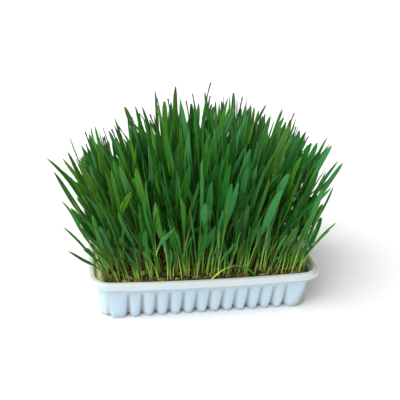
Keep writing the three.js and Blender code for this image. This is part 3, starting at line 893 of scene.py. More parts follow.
def leaning(toward, lean):
    """The direction of a shoot that leans by so much towards a heading."""
    return np.array(
        [math.cos(toward) * math.sin(lean), math.sin(toward) * math.sin(lean), math.cos(lean)]
    )


def path_points(start, first, last, reach, along):
    """A line that leaves its start in one direction and reaches its tip in another."""
    along = np.asarray(along, float)[:, None]
    return start + reach * (first * along + (last - first) * along * along / 2)


def shoot_path(shoot):
    """A shoot's start, its directions there and at its tip, and its length."""
    start = np.array([*shoot["root"], BED_TOP])
    first = leaning(shoot["toward"], shoot["lean_root"])
    last = leaning(shoot["toward"], shoot["lean_tip"])
    return start, first, last, shoot["length"]


def cross_frames(forward, turn):
    """Directions across a leaf and through it, at each place along it."""
    across = np.stack([np.cos(turn), np.sin(turn), 0 * turn], -1)
    across = unit(across - forward * (across * forward).sum(-1, keepdims=True))
    return across, np.cross(forward, across)


def shoot_frames(shoot):
    """Middle, across, through and half sizes of the solid shoot at its stations."""
    path = shoot_path(shoot)
    middle = path_points(*path, STATION_ALONG)
    ahead = path_points(*path, STATION_ALONG + ALONG_STEP)
    forward = unit(ahead - path_points(*path, STATION_ALONG - ALONG_STEP))
    across, through = cross_frames(forward, shoot["facing"] + shoot["twist"] * STATION_ALONG)
    width = STEM_WIDTH + (shoot["width"] - STEM_WIDTH) * STATION_SPREAD
    width[-1] = 0
    return middle, across, through, width / 2, STATION_THICK / 2


def stretches_clear(new, standing):
    """Whether a shoot keeps its distance from all that stand already, stretch by stretch."""
    middle, across, through, wide, thick = new
    others = [np.stack(each) for each in zip(*standing)]
    room = WIDTH_BROAD + CLEARANCE
    low, high = middle.min(0) - room, middle.max(0) + room
    near = ((others[0].max(1) >= low) & (others[0].min(1) <= high)).all(-1)
    if not near.any():
        return True
    b_middle, b_across, b_through, b_wide, b_thick = (each[near] for each in others)
    a0, a1 = middle[:-1, None, None], middle[1:, None, None]
    b0, b1 = b_middle[None, :, :-1], b_middle[None, :, 1:]
    run_a, run_b, offset = a1 - a0, b1 - b0, a0 - b0
    aa = (run_a * run_a).sum(-1)
    bb = (run_b * run_b).sum(-1)
    ab = (run_a * run_b).sum(-1)
    ao = (run_a * offset).sum(-1)
    bo = (run_b * offset).sum(-1)
    spread = aa * bb - ab * ab
    safe = np.where(spread > NEARLY_PARALLEL, spread, 1)
    share_a = np.where(spread > NEARLY_PARALLEL, np.clip((ab * bo - ao * bb) / safe, 0, 1), 0)
    share_b = (ab * share_a + bo) / bb
    outside = (share_b < 0) | (share_b > 1)
    share_b = np.clip(share_b, 0, 1)
    share_a = np.where(outside, np.clip((ab * share_b - ao) / aa, 0, 1), share_a)
    apart = b0 + run_b * share_b[..., None] - a0 - run_a * share_a[..., None]
    distance = np.linalg.norm(apart, axis=-1)
    toward = apart / np.where(distance > 0, distance, 1)[..., None]

    def reach(sizes, sides, share_of, index):
        low_size, high_size = sizes[index(0)], sizes[index(1)]
        size = low_size + (high_size - low_size) * share_of
        nearer = np.where((share_of < 0.5)[..., None], sides[index(0)], sides[index(1)])
        return size * np.abs((toward * nearer).sum(-1))

    def of_new(end):
        return (slice(end, 4 + end), None, None)

    def of_old(end):
        return (None, slice(None), slice(end, 4 + end))

    needed = (
        reach(wide, across, share_a, of_new)
        + reach(thick, through, share_a, of_new)
        + reach(b_wide, b_across, share_b, of_old)
        + reach(b_thick, b_through, share_b, of_old)
    )
    lowest = np.maximum(a0[..., 2], b0[..., 2])
    highest = np.minimum(a1[..., 2], b1[..., 2])
    clear = (
        (lowest > highest + WIDTH_BROAD) | (distance > room) | (distance >= needed + CLEARANCE)
    )
    return bool(clear.all())


WALL_X = RIM_LENGTH / 2 - FLANGE  # where the wall meets the flange
WALL_Y = RIM_WIDTH / 2 - FLANGE


def inside_plug(place, point):
    room_x = CLUMP_LENGTH / 2 - abs(point[0] - place[0])
    room_y = CLUMP_WIDTH / 2 - abs(point[1] - place[1])
    room_cut = (room_x + room_y - CLUMP_CHAMFER) * math.sqrt(0.5)
    return min(room_x, room_y, room_cut) > ROOT_MARGIN


def sunk_end(middle):
    run = middle[1] - middle[0]
    return middle[0] - run * ROOT_SINK / run[2]


def clear_of_rim(frames):
    middle, wide = frames[0], frames[3]
    in_x = np.abs(middle[:, 0]) + wide < WALL_X - RIM_ROOM
    in_y = np.abs(middle[:, 1]) + wide < WALL_Y - RIM_ROOM
    return bool(((in_x & in_y) | (middle[:, 2] > TRAY_HEIGHT + RIM_ROOM_ABOVE)).all())


def stand_height(x, y):
    """Length of a grown shoot that is rooted at a place."""
    edge_x, edge_y = x / WALL_X, y / WALL_Y
    loss_end, fall = (LOSS_LEFT, FALL_LEFT) if x < 0 else (LOSS_RIGHT, FALL_RIGHT)
    loss_side = LOSS_FRONT if y < 0 else LOSS_BACK
    return LENGTH_TALL - loss_end * abs(edge_x) ** fall - loss_side * edge_y**2


def outward_lean(x, y):
    """How far shoots rooted at a place lean out along the tray and across it, as tangents."""
    edge_x, edge_y = x / WALL_X, y / WALL_Y
    lean_end, rise = (LEAN_LEFT, LEAN_RISE_LEFT) if x < 0 else (LEAN_RIGHT, LEAN_RISE_RIGHT)
    fanned = lean_end * abs(edge_x) ** rise * (1 - LEAN_BACK_LOSS * max(edge_y, 0))
    return math.copysign(fanned, edge_x), LEAN_SIDES * edge_y


def drawn_shoot(draws, root):
    lean_x, lean_y = outward_lean(*root)
    lean_x += LEAN_VARIATION * draws.centred()
    lean_y += LEAN_VARIATION * draws.centred()
    lean = math.atan(math.sqrt(lean_x * lean_x + lean_y * lean_y))
    bend = BEND + draws.within(BEND_VARIATION)
    grown = stand_height(*root) + LENGTH_VARIATION * draws.centred()
    front = max(-root[1] / WALL_Y, 0)
    stunted = draws() < SHORT_SHARE + (SHORT_SHARE_FRONT - SHORT_SHARE) * front
    shortened = draws.between(LENGTH_SHORT, grown)
    return {
        "root": root,
        "toward": math.atan2(lean_y, lean_x),
        "lean_root": max(lean - bend, 0),
        "lean_tip": lean + bend,
        "length": shortened if stunted else grown,
        "width": WIDTH_NARROW + (WIDTH_BROAD - WIDTH_NARROW) * draws() ** WIDTH_BIAS,
        "facing": draws.within(FACING_SPREAD),
        "twist": draws.within(TWIST),
    }


def stray_shoot(x, y, toward, lean_root, lean_tip, reach, width, facing):
    return {
        "root": (x, y),
        "toward": math.radians(toward),
        "lean_root": math.radians(lean_root),
        "lean_tip": math.radians(lean_tip),
        "length": reach,
        "width": width,
        "facing": math.radians(facing),
        "twist": 0,
    }


@cache
def stand_of_shoots():
    """Every shoot in turn, clump by clump, each with the number of its clump."""
    places = clump_places()
    draws = Draws(SEED + 1)
    shoots = []
    standing = []
    for stray in STRAYS:
        shoot = stray_shoot(*stray)
        away = [math.hypot(x - stray[0], y - stray[1]) for x, y, _ in places]
        shoot.update(clump=away.index(min(away)), stray=True)
        shoots.append(shoot)
        standing.append(shoot_frames(shoot))
    for clump, place in enumerate(places):
        for seat in range(SHOOT_COLUMNS * SHOOT_ROWS):
            column, row = seat % SHOOT_COLUMNS, seat // SHOOT_COLUMNS
            for _ in range(DRAWS_PER_SHOOT):
                share_x = (column + 0.5 + draws.within(SEAT_SCATTER)) / SHOOT_COLUMNS - 0.5
                share_y = (row + 0.5 + draws.within(SEAT_SCATTER)) / SHOOT_ROWS - 0.5
                root = (
                    place[0] + CLUMP_LENGTH * SHOOT_SPREAD * share_x,
                    place[1] + CLUMP_WIDTH * SHOOT_SPREAD * share_y,
                )
                shoot = drawn_shoot(draws, root)
                frames = shoot_frames(shoot)
                held = inside_plug(place, root) and inside_plug(place, sunk_end(frames[0]))
                if held and clear_of_rim(frames) and stretches_clear(frames, standing):
                    shoot.update(clump=clump, stray=False)
                    shoots.append(shoot)
                    standing.append(frames)
                    break
    return shoots


# ---- Leaves ----

# Place along a leaf, and the share of its spread from stem to full width.
SPREAD_ALONG = (0, 0.12, 0.22, 0.32, 0.4, 0.47, 0.54, 0.62, 0.7, 0.8, 0.88, 0.94, 0.98, 1)
SPREAD_SHARE = (0, 0.01, 0.03, 0.08, 0.2, 0.42, 0.7, 0.9, 1, 0.97, 0.86, 0.68, 0.44, 0.18)
WIDEST = 0.7
SECTION_ACROSS = np.array([-1, -0.5, 0, 0.5, 1, 0.5, 0, -0.5])
SECTION_SIDE = np.array([0, -1, -1, -1, 0, 1, 1, 1])
SECTION_POINTS = len(SECTION_ACROSS)
SECTION_TURN = np.arange(SECTION_POINTS) / SECTION_POINTS * 2 * math.pi
KEEL = np.array([0, 0, 0, 0, 0, 0, 1, 0])
OPENING_RUN = 0.24  # share of a leaf over which its sheath opens into the blade
SWAY_WAVE = 7.0
SWAY_THROUGH = 0.6  # how much of the sway is through the leaf too
FLATTENS = 0.5  # how much of the fold is gone at the tip
ROLL_IN = 0.85  # how much a tip narrows as it dries
TIP_PAST = 0.5  # how far the point is past the last section
LEAF_TRIM = 0.93  # the solid blades are a little broader than the leaves
TRIM_LEFT = 0.22  # and by so much more at the left end
STRAY_TURN = 0.3  # the strays' blades lie flatter to the front than the solid ones
TOP_LAYER = 1.0  # how far below the stand's height a tip still stands on top of it
STAND_REACH = np.array(CAD_BOX) / MM
TIPS_PAST = 1.0  # how far past it a leaf's tip may be
DRY_SHARE = 0.3  # how many of the leaves on top of the stand's back half have a dried tip
YELLOWEST_LEFT = 80.0  # how far from the middle the leaves are yellowest, to the left
DARKEST_BACK = 50.0  # and darkest, to the back
TRIM_RUN = 70.0  # how far from the middle, to the left, the leaves are trimmed in full
ROLLED_WIDE = 0.68  # half the width of a dried tip, which has rolled up
ROLLED_THICK = 0.5
TOWARDS_TIP = (0.1, 0.07)  # how much closer the sections stand towards the tip
SLENDER_REACH = (77.0, 53.0)  # how far from the middle slender shoots are rooted, along and across
SLENDER_RIGHT = 70.0  # and to the right, where the mat has shrunk
SLENDER_TALLEST = 0.95  # as a share of the stand's height
YOUNG_TALLEST = 0.5
EDGING_TALLEST = 0.8
SLENDER_SLIM = 0.06  # its greatest width as a share of its length
SHOULDER_RISE = 0.17  # slender shoots stand this share taller at the back right
SHOULDER_ALONG = (-5.0, 35.0)
SHOULDER_BACK = (-12.0, 18.0)
EDGING_MIDDLE = -50.5  # the strip along the front of the bed that has more of them
EDGING_DEPTH = 5.0
EDGING_OPENS = (0.35, 0.5)
SHORTEST = 18.0  # length of the shortest slender shoot
SECOND_SUNK = 2.5  # how deep second leaves and slender shoots start in what holds them
FEWER_RIGHT = 0.6  # how much thinner the stand is at its right end
FEWER_FROM = (50, 80)
ARCH_ROOT = (1.0, -53.6, BED_TOP)
ARCH_ROUND = (40, 140)  # degrees from upright at its root and at its tip
ARCH_LENGTH = 53.0
ARCH_WIDTH = 2.4


def leaf_sections(above, width, dry, form, looks):
    """How far the points of each section lie across the leaf and through it."""
    spread = np.interp(above, SPREAD_ALONG, SPREAD_SHARE)
    stem = form["stem"]
    narrowed = width * spread ** form["point"]
    wide = np.where(above < WIDEST, stem + (width - stem) * spread, narrowed) / 2
    wide = np.maximum(wide * (1 - ROLL_IN * dry), ROLLED_WIDE * dry)
    tube = np.minimum(wide, stem / 2)[:, None]
    tube_across, tube_through = -np.cos(SECTION_TURN) * tube, -np.sin(SECTION_TURN) * tube
    fold = form["fold"] * (1 - FLATTENS * above)[:, None]
    thin = np.maximum(np.minimum(looks.blade / MM / 2, wide), ROLLED_THICK * dry)[:, None]
    blade_across = SECTION_ACROSS * wide[:, None]
    blade_through = (
        SECTION_SIDE * (1 - 0.35 * SECTION_ACROSS**2) * thin
        - fold * np.abs(SECTION_ACROSS) ** 1.3 * wide[:, None]
        + KEEL * looks.midrib / MM * np.minimum(wide, 1)[:, None]
    )
    opened = smooth_step(form["opens"], form["opens"] + OPENING_RUN, above)[:, None]
    return (
        tube_across + (blade_across - tube_across) * opened,
        tube_through + (blade_through - tube_through) * opened,
    )


def leaf_solid(solids, path, width, facing, twist, form, looks):
    """One leaf as a closed solid: a round sheath that opens into a thin, folded blade.

    path gives the start, the directions at the two ends and the length. form holds the leaf's
    own habit: turn, point, fold, sway, stem, sunk, opens, dry, stations, and its finish's
    tone, yellow and hue.
    """
    _, first, last, reach = path
    along = np.linspace(0, 1, form["stations"])
    crowd, crowd_late = TOWARDS_TIP
    along += crowd * along * (1 - along) + crowd_late * np.sin(math.pi * along) ** 2 * along
    along = np.concatenate([[-form["sunk"] / reach], along])
    forward = unit(first + (last - first) * along[:, None])
    above = np.clip(along, 0, 1)
    across, through = cross_frames(forward, facing + (twist * along + form["turn"] * above**2))
    dry = form["dry"] * smooth_step(form["dry_from"], 1, above)
    sway = form["sway"] * np.sin(form["phase"] + SWAY_WAVE * above) * above**1.5
    curl = form["dry"] * form["curl"] * smooth_step(form["dry_from"], 1.04, above) ** 2
    middle = path_points(*path, along) + across * sway[:, None]
    middle += through * (sway * SWAY_THROUGH + curl)[:, None]
    over, deep = leaf_sections(above, width, dry, form, looks)
    rings = middle[:, None] + across[:, None] * over[..., None] + through[:, None] * deep[..., None]
    tip = rings[-1].mean(0) + forward[-1] * TIP_PAST
    points = np.concatenate([rings.reshape(-1, 3), [rings[0].mean(0), tip]])
    levels = len(rings)
    over = np.concatenate([np.tile(SECTION_ACROSS, levels), [0, 0]])
    up = np.concatenate([np.repeat(above, SECTION_POINTS), [0, 1]])
    dried = np.concatenate([np.repeat(dry, SECTION_POINTS), [0, dry[-1]]])
    tone, yellow, hue = (np.full(len(points), form[name]) for name in ("tone", "yellow", "hue"))
    leaf, state = np.column_stack([over, up, tone]), np.column_stack([dried, yellow, hue])
    solids.add(points, closed_faces(levels, SECTION_POINTS), leaf=leaf, state=state)


def leaf_form(draw, root, on_top=False):
    """The habit of one leaf.

    Towards the left end of the stand more leaves turn yellow, and towards its back they are
    darker. Tips dry on top of its back half.
    """
    dries = DRY_SHARE if on_top and root[1] > 0 else 0
    left = clipped(-root[0] / YELLOWEST_LEFT)
    back = clipped(root[1] / DARKEST_BACK)
    yellow = draw.random() ** (4.2 - 2.8 * left) * (0.65 + 0.35 * left)
    return {
        "turn": draw.uniform(-0.9, 0.9),
        "point": draw.uniform(0.7, 1.25) - 0.3 * back,
        "fold": draw.uniform(0.25, 0.95),
        "sway": draw.uniform(0.3, 1.8),
        "phase": any_turn(draw),
        "stem": draw.uniform(0.8, 1.2),
        "sunk": ROOT_SINK,
        "opens": draw.uniform(0.28, 0.4),
        "dry": 1.0 if draw.random() < dries else 0.0,
        "dry_from": draw.uniform(0.82, 0.92),
        "curl": draw.uniform(-2.6, 2.6),
        "tone": draw.random() ** (1 + 0.7 * back),
        "yellow": yellow,
        "hue": draw.random(),
        "stations": 24,
    }


def main_leaf(solids, shoot, draw, looks):
    """The leaf that stands in for a solid shoot, on the same line and as long."""
    on_top = shoot["length"] > stand_height(*shoot["root"]) - TOP_LAYER
    form = leaf_form(draw, shoot["root"], on_top)
    width = shoot["width"] * (LEAF_TRIM - TRIM_LEFT * clipped(-shoot["root"][0] / TRIM_RUN))
    facing = shoot["facing"] * (STRAY_TURN if shoot["stray"] else 1)
    leaf_solid(solids, shoot_path(shoot), width, facing, shoot["twist"], form, looks)


def passes_stand(path):
    """Whether a leaf's tip would pass the stand's own reach."""
    tip = path_points(*path, [1.0])[0]
    return (tip < STAND_REACH[0] - TIPS_PAST).any() or (tip > STAND_REACH[1] + TIPS_PAST).any()


def parting(forward, side, opening, droop):
    """The directions at the start and the end of a leaf that parts from its sheath to one side."""
    begin = forward + side * opening
    begin /= np.linalg.norm(begin)
    return begin, begin + side * droop - np.array([0, 0, droop * 0.35])


def second_leaf(solids, shoot, draw, looks):
    """A narrower leaf that parts from the sheath and stands off to one side.

    Where its tip would pass the stand's own reach, it stands off to the other side.
    """
    sheath = shoot_path(shoot)
    _, first, last, length = sheath
    parts = draw.uniform(0.16, 0.4)
    start = path_points(*sheath, [parts])[0]
    forward = first + (last - first) * parts
    heading = any_turn(draw)
    side = np.array([math.cos(heading), math.sin(heading), 0])
    opening, droop = draw.uniform(0.08, 0.38), draw.uniform(0.05, 0.45)
    reach = length * (1 - parts) * draw.uniform(0.45, 0.95)
    path = start, *parting(forward, side, opening, droop), reach
    if passes_stand(path):
        path = start, *parting(forward, -side, opening, droop), reach
    on_top = start[2] - BED_TOP + reach > stand_height(*shoot["root"]) - TOP_LAYER
    form = leaf_form(draw, shoot["root"], on_top)
    form.update(stem=0.8, sunk=SECOND_SUNK, opens=draw.uniform(0.04, 0.12), stations=20)
    width = 2.4 + 3.0 * draw.random() ** 1.3
    leaf_solid(solids, path, width, draw.uniform(-1.3, 1.3), draw.uniform(-1.1, 1.1), form, looks)


def slender_shoot(solids, place, depth, tallest, draw, looks, opens=(0.15, 0.35)):
    """A slender shoot that leans as its neighbours do.

    depth is how deep the strip is that it is rooted in, tallest is its greatest length as a
    share of the stand's height there, and opens is where along it the blade may open. Where
    its tip would pass the stand's own reach, it stays straight.
    """
    x = place[0] + draw.uniform(-0.5, 0.5) * CLUMP_PITCH_X
    y = place[1] + draw.uniform(-0.5, 0.5) * depth
    x = min(max(x, -SLENDER_REACH[0]), SLENDER_RIGHT)
    y = min(max(y, -SLENDER_REACH[1]), SLENDER_REACH[1])
    lean_x, lean_y = outward_lean(x, y)
    lean_x += draw.uniform(-0.2, 0.2)
    lean_y += draw.uniform(-0.2, 0.2)
    toward, lean = math.atan2(lean_y, lean_x), math.hypot(lean_x, lean_y)
    first, last = leaning(toward, lean * 0.6), leaning(toward, lean + draw.uniform(0.05, 0.35))
    form = leaf_form(draw, (x, y))
    form.update(stem=draw.uniform(0.6, 0.9), sunk=SECOND_SUNK, opens=draw.uniform(*opens), stations=15)
    reach = SHORTEST + (stand_height(x, y) * tallest - SHORTEST) * draw.random() ** 0.75
    path = np.array([x, y, BED_TOP]), first, last, reach
    if passes_stand(path):
        path = path[0], first, first, reach
    width = min(1.6 + 2.6 * draw.random() ** 1.5, reach * SLENDER_SLIM)
    leaf_solid(solids, path, width, draw.uniform(-1.5, 1.5), draw.uniform(-1.4, 1.4), form, looks)


def clump_solids(clump, looks):
    """The shoots of one clump, with the slender and young ones among them."""
    draw = random.Random(SEED + 100 + clump)
    place = clump_places()[clump]
    solids = Solids()
    fewer = 1 - FEWER_RIGHT * smooth_step(*FEWER_FROM, place[0])
    for shoot in stand_of_shoots():
        if shoot["clump"] != clump:
            continue
        main_leaf(solids, shoot, draw, looks)
        if draw.random() < looks.seconds * fewer and not shoot["stray"]:
            second_leaf(solids, shoot, draw, looks)
    shoulder = smooth_step(*SHOULDER_ALONG, place[0]) * smooth_step(*SHOULDER_BACK, place[1])
    slender_tallest = SLENDER_TALLEST + SHOULDER_RISE * shoulder
    for count, tallest in (looks.slender, slender_tallest), (looks.young, YOUNG_TALLEST):
        for _ in range(round(count * fewer)):
            slender_shoot(solids, place, CLUMP_PITCH_Y, tallest, draw, looks)
    if clump < COLUMNS:
        edge = place[0], EDGING_MIDDLE
        for _ in range(looks.edging):
            slender_shoot(solids, edge, EDGING_DEPTH, EDGING_TALLEST, draw, looks, EDGING_OPENS)
    return solids


def arching_solids(looks):
    """One thin leaf that has bent over and lies in an arch along the front of the bed."""
    form = leaf_form(random.Random(SEED + 90), (0, 0))
    form.update(stem=1.3, sunk=2, opens=0.1, stations=28, dry=0.0, yellow=0.2, sway=0.3, fold=0.3)
    first = leaning(0, math.radians(ARCH_ROUND[0]))
    last = leaning(math.radians(-2), math.radians(ARCH_ROUND[1]))
    path = np.array(ARCH_ROOT), first, last, ARCH_LENGTH
    solids = Solids()
    leaf_solid(solids, path, ARCH_WIDTH, math.radians(90), 0, form, looks)
    return solids


# ---- Finishes ----


class Value:
    """A number that runs through a finish. An expression on values adds its Math nodes."""

    def __init__(self, finish, socket):
        self.finish = finish
        self.socket = socket

    def math(self, operation, first, second=None):
        inputs = {0: first} if second is None else {0: first, 1: second}
        return self.finish.node("ShaderNodeMath", {"operation": operation}, inputs)

    def __add__(self, other):
        return self.math("ADD", self, other)

    def __sub__(self, other):
        return self.math("SUBTRACT", self, other)

    def __mul__(self, other):
        return self.math("MULTIPLY", self, other)

    def __pow__(self, other):
        return self.math("POWER", self, other)

    def __rsub__(self, other):
        return self.math("SUBTRACT", other, self)

    def __abs__(self):
        return self.math("ABSOLUTE", self)

    __radd__ = __add__
    __rmul__ = __mul__

    def sine(self):
        return self.math("SINE", self)

    def step(self, low, high):
        """0 below low, 1 above high, and smooth between them."""
        settings = {"interpolation_type": "SMOOTHSTEP", "clamp": True}
        inputs = {"Value": self, "From Min": low, "From Max": high}
        return self.finish.node("ShaderNodeMapRange", settings, inputs)


class Finish:
    """A material in the making, with one method that adds any node."""

    def __init__(self, name):
        self.material = bpy.data.materials.new(name)
        self.material.use_nodes = True
        self.tree = self.material.node_tree
        self.shader = self.tree.nodes["Principled BSDF"]

    def put(self, socket, value):
        if isinstance(value, Value):
            self.tree.links.new(value.socket, socket)
        elif socket.type == "RGBA" and len(value) == 3:
            socket.default_value = (*value, 1)
        else:
            socket.default_value = value

    def node(self, kind, settings, inputs, output=0):
        """Adds a node: its settings first, then the values or links of its sockets."""
        made = self.tree.nodes.new(kind)
        for name, value in settings.items():
            setattr(made, name, value)
        by_identifier = {socket.identifier: socket for socket in made.inputs}
        for name, value in inputs.items():
            socket = by_identifier.get(name) or made.inputs[name]
            self.put(socket, value)
        return Value(self, made.outputs[output])

    def parts(self, vector):
        """The three numbers of a vector."""
        separate = self.node("ShaderNodeSeparateXYZ", {}, {0: vector}).socket.node
        return [Value(self, output) for output in separate.outputs]

    def mark(self, name):
        """The three numbers of a mark on the mesh."""
        return self.parts(self.node("ShaderNodeAttribute", {"attribute_name": name}, {}, "Vector"))

    def place(self):
        return self.node("ShaderNodeTexCoord", {}, {}, "Object")

    def vector(self, x, y, z):
        return self.node("ShaderNodeCombineXYZ", {}, {0: x, 1: y, 2: z})

    def grain(self, where, scale, detail=2.0, roughness=0.5):
        inputs = {"Vector": where, "Scale": scale, "Detail": detail, "Roughness": roughness}
        return self.node("ShaderNodeTexNoise", {}, inputs)

    def mix(self, part, first, second):
        """A colour between two others."""
        inputs = {"Factor_Float": part, "A_Color": first, "B_Color": second}
        return self.node("ShaderNodeMix", {"data_type": "RGBA"}, inputs, 2)

    def coats(self, base, *coats):
        """A colour under others, each laid on by the share that it covers."""
        for part, colour in coats:
            base = self.mix(part, base, colour)
        return base

    def shade(self, colour, amount):
        """A colour made lighter or darker by a number."""
        grey = self.node("ShaderNodeCombineColor", {}, {0: amount, 1: amount, 2: amount})
        settings = {"data_type": "RGBA", "blend_type": "MULTIPLY"}
        inputs = {"Factor_Float": 1.0, "A_Color": colour, "B_Color": grey}
        return self.node("ShaderNodeMix", settings, inputs, 2)

    def bump(self, height, distance, strength_of=1.0):
        inputs = {"Height": height, "Distance": distance, "Strength": strength_of}
        return self.node("ShaderNodeBump", {}, inputs)

    def done(self, **sockets):
        """Sets the shader's sockets, named with _ for spaces, and gives the material."""
        for name, value in sockets.items():
            self.put(self.shader.inputs[name.replace("_", " ")], value)
        return self.material


def plastic_finish(looks):
    finish = Finish("fluted_plastic")
    film_and_glow, rim, flute_shade = finish.mark("place")
    age, _, _ = finish.mark("age")
    where = finish.place()
    _, _, height = finish.parts(where)
    clouds = finish.grain(where, 28, 3)
    grain = finish.grain(where, 900, 2)
    patches = finish.grain(where, 130, 4, 0.6)
    # painted shade on the right end, in blotches
    right_end_shade = age * (0.7 + patches * 0.4)
    base = finish.coats(
        finish.shade(finish.mix(rim, looks.wall, looks.rim), 0.95 + clouds * 0.1),
        # painted shade in the flutes, darker where they are deeper
        (flute_shade * 0.75, looks.shade_grey),
        # painted shade: the wall darker towards the floor, over its lowest few millimetres
        (height.step(0.006, -0.002) * (1 - rim) * 0.7, looks.foot),
        # a yellow coat above the soil line, painted lighter for light that comes through the wall
        (film_and_glow * (0.25 + patches.step(0.4, 0.7) * 0.6), looks.stain_and_glow),
        # painted shade on the right end: grey on the wall, yellow-grey on the rim
        (right_end_shade * (1 - rim), finish.shade(looks.shade_grey, 0.7)),
        (right_end_shade * rim, looks.right_end_shade),
    )
    return finish.done(
        Base_Color=base,
        Roughness=0.26 + clouds * 0.14 + film_and_glow * 0.2,
        Normal=finish.bump(clouds * 0.7 + grain * 0.05, 0.0006, 0.35),
        IOR=1.49,
        Subsurface_Weight=0.4,
        Subsurface_Radius=(1.0, 1.0, 1.0),
        Subsurface_Scale=0.002,
    )


def soil_finish(looks):
    finish = Finish("moist_soil")
    where = finish.place()
    lumps = finish.grain(where, 420, 5, 0.65)
    spots = finish.grain(where, 1500, 3, 0.6)
    fibres = finish.grain(where, 160, 4, 0.7)
    along, _, _ = finish.parts(where)
    bare_roots = along.step(*ROOTS_SHOW) * (0.5 + spots * 0.8)
    base = finish.coats(
        looks.soil,
        (lumps.step(0.42, 0.68), looks.dry_soil),
        (spots.step(0.64, 0.74) * 0.8, looks.kernel),
        (fibres.step(0.45, 0.65) * 0.65, looks.algae),
        (bare_roots, looks.mat),
    )
    return finish.done(
        Base_Color=base,
        Roughness=0.95 - fibres * 0.3,
        Normal=finish.bump(lumps + spots * 0.5, 0.0012, 0.9),
    )


def crumb_finish(looks):
    finish = Finish("soil_crumbs")
    tone, kind, _ = finish.mark("tone")
    grit = finish.grain(finish.place(), 1400, 3, 0.6)
    base = finish.coats(
        looks.soil,
        (tone**2, looks.dry_soil),
        (kind.step(0.35, 0.5) * 0.8, looks.algae),
        (kind.step(0.9, 0.95) * 0.7, looks.pale_kernel),
    )
    return finish.done(
        Base_Color=finish.shade(base, 0.3 + grit * 1.1),
        Roughness=0.8 + grit * 0.15,
        Normal=finish.bump(grit, 0.0005, 0.8),
    )


def kernel_finish(looks):
    finish = Finish("sprouted_kernels")
    along, tone, side = finish.mark("kernel")
    where = finish.place()
    skin = finish.grain(where, 900, 3, 0.6)
    dirt = finish.grain(where, 340, 4, 0.6)
    base = finish.coats(
        looks.kernel,
        (tone.step(0.55, 1.1), looks.pale_kernel),
        (along.step(0.25, 0.0) * 0.5, looks.pale_kernel),
    )
    base = finish.coats(
        # Painted light and shade: each kernel lighter towards its own top, away from its crease, and
        # darker towards its underside
        finish.shade(base, 0.4 + skin * 0.75 + side * 0.5),
        (tone.step(0.16, 0.06) * 0.8, looks.soil),
        (dirt.step(0.44, 0.64) * 0.75, looks.soil),
    )
    return finish.done(
        Base_Color=base,
        Roughness=0.42 + dirt * 0.3,
        Normal=finish.bump(skin + (along * 40).sine() * 0.08, 0.0003, 0.6),
        Subsurface_Weight=0.08,
        Subsurface_Scale=0.001,
    )


def rootlet_finish(looks):
    finish = Finish("rootlets")
    tone, _, _ = finish.mark("tone")
    hairs = finish.grain(finish.place(), 1200, 3)
    base = finish.mix(tone * 0.7, looks.rootlet, looks.kernel)
    return finish.done(
        Base_Color=finish.shade(base, 0.7 + hairs * 0.5),
        Roughness=0.6 + hairs * 0.2,
        Normal=finish.bump(hairs, 0.0002, 0.5),
    )


# Where light reaches the foot of the stand, and the heights between which that shows, in metres.
LIT_ROWS = (0.040, 0.052)
LIT_ENDS = (0.062, 0.074)
DIM_LEFT = (-0.045, -0.065)
DIM_BELOW = (0.095, 0.045)


def leaf_finish(looks):
    finish = Finish("leaf")
    over, up, tone = finish.mark("leaf")
    dried, yellow, hue = finish.mark("state")
    streak_place = finish.vector(over * 3.2 + tone * 90, up * 2.4 + hue * 37, tone * 50)
    streaks = finish.grain(streak_place, 2.2, 4, 0.6)
    veins = (over * 21).sine() * 0.5 + 0.5
    sheath = up.step(0.5, 0.08) * (0.4 + streaks * 0.6)
    rib = abs(over).step(0.16, 0.02) * up.step(0.2, 0.4) * up.step(0.98, 0.8)
    x, y, z = finish.parts(finish.place())
    inside = (1 - abs(y).step(*LIT_ROWS)) * (1 - abs(x).step(*LIT_ENDS))
    shaded = inside * 0.66 + (1 - inside) * x.step(*DIM_LEFT) * 0.34
    base = finish.coats(
        looks.deep_green,
        (tone, looks.green),
        # partly a bloom, partly a painted sheen
        (hue.step(0.4, 0.95) * 0.9, looks.blue_green),
        (yellow, looks.yellow_green),
    )
    base = finish.coats(
        finish.shade(base, 0.62 + streaks * 0.6 + veins * 0.1),
        (sheath, finish.shade(looks.stem, 0.75 + hue**2 * 1.1)),
        (rib * 0.3, looks.yellow_green),
    )
    base = finish.coats(
        finish.shade(base, 0.95 + z.step(*DIM_BELOW) * (0.21 - shaded)),
        (abs(over).step(0.84, 1.0) * 0.3, looks.stem),
        (dried.step(0.12, 0.6), finish.shade(looks.dried, 0.7 + streaks * 0.6)),
    )
    return finish.done(
        Base_Color=base,
        Roughness=0.36 + streaks * 0.14 + dried * 0.3,
        Specular_IOR_Level=0.25,
        Normal=finish.bump(veins + rib * -1.5, 0.00012, 0.6),
        Subsurface_Weight=0.2,
        Subsurface_Radius=(0.4, 1.0, 0.2),
        Subsurface_Scale=0.0012,
    )


def floor_finish(looks):
    finish = Finish("plain_floor")
    clouds = finish.grain(finish.place(), 3, 2)
    base = finish.shade(looks.floor, 0.99 + clouds * 0.02)
    return finish.done(Base_Color=base, Roughness=0.75 + clouds * 0.1)


# ---- Operators: one for each piece or group of like pieces, and one for the stage ----


class WHEATGRASS_OT_tray(bpy.types.Operator):
    """Builds the fluted tray."""

    bl_idname = "wheatgrass.tray"
    bl_label = "Tray"

    def execute(self, context):
        looks = context.scene.tray_looks
        make_piece("fluted_tray", tray_solids(looks), plastic_finish(looks), ["tray"])
        return {"FINISHED"}


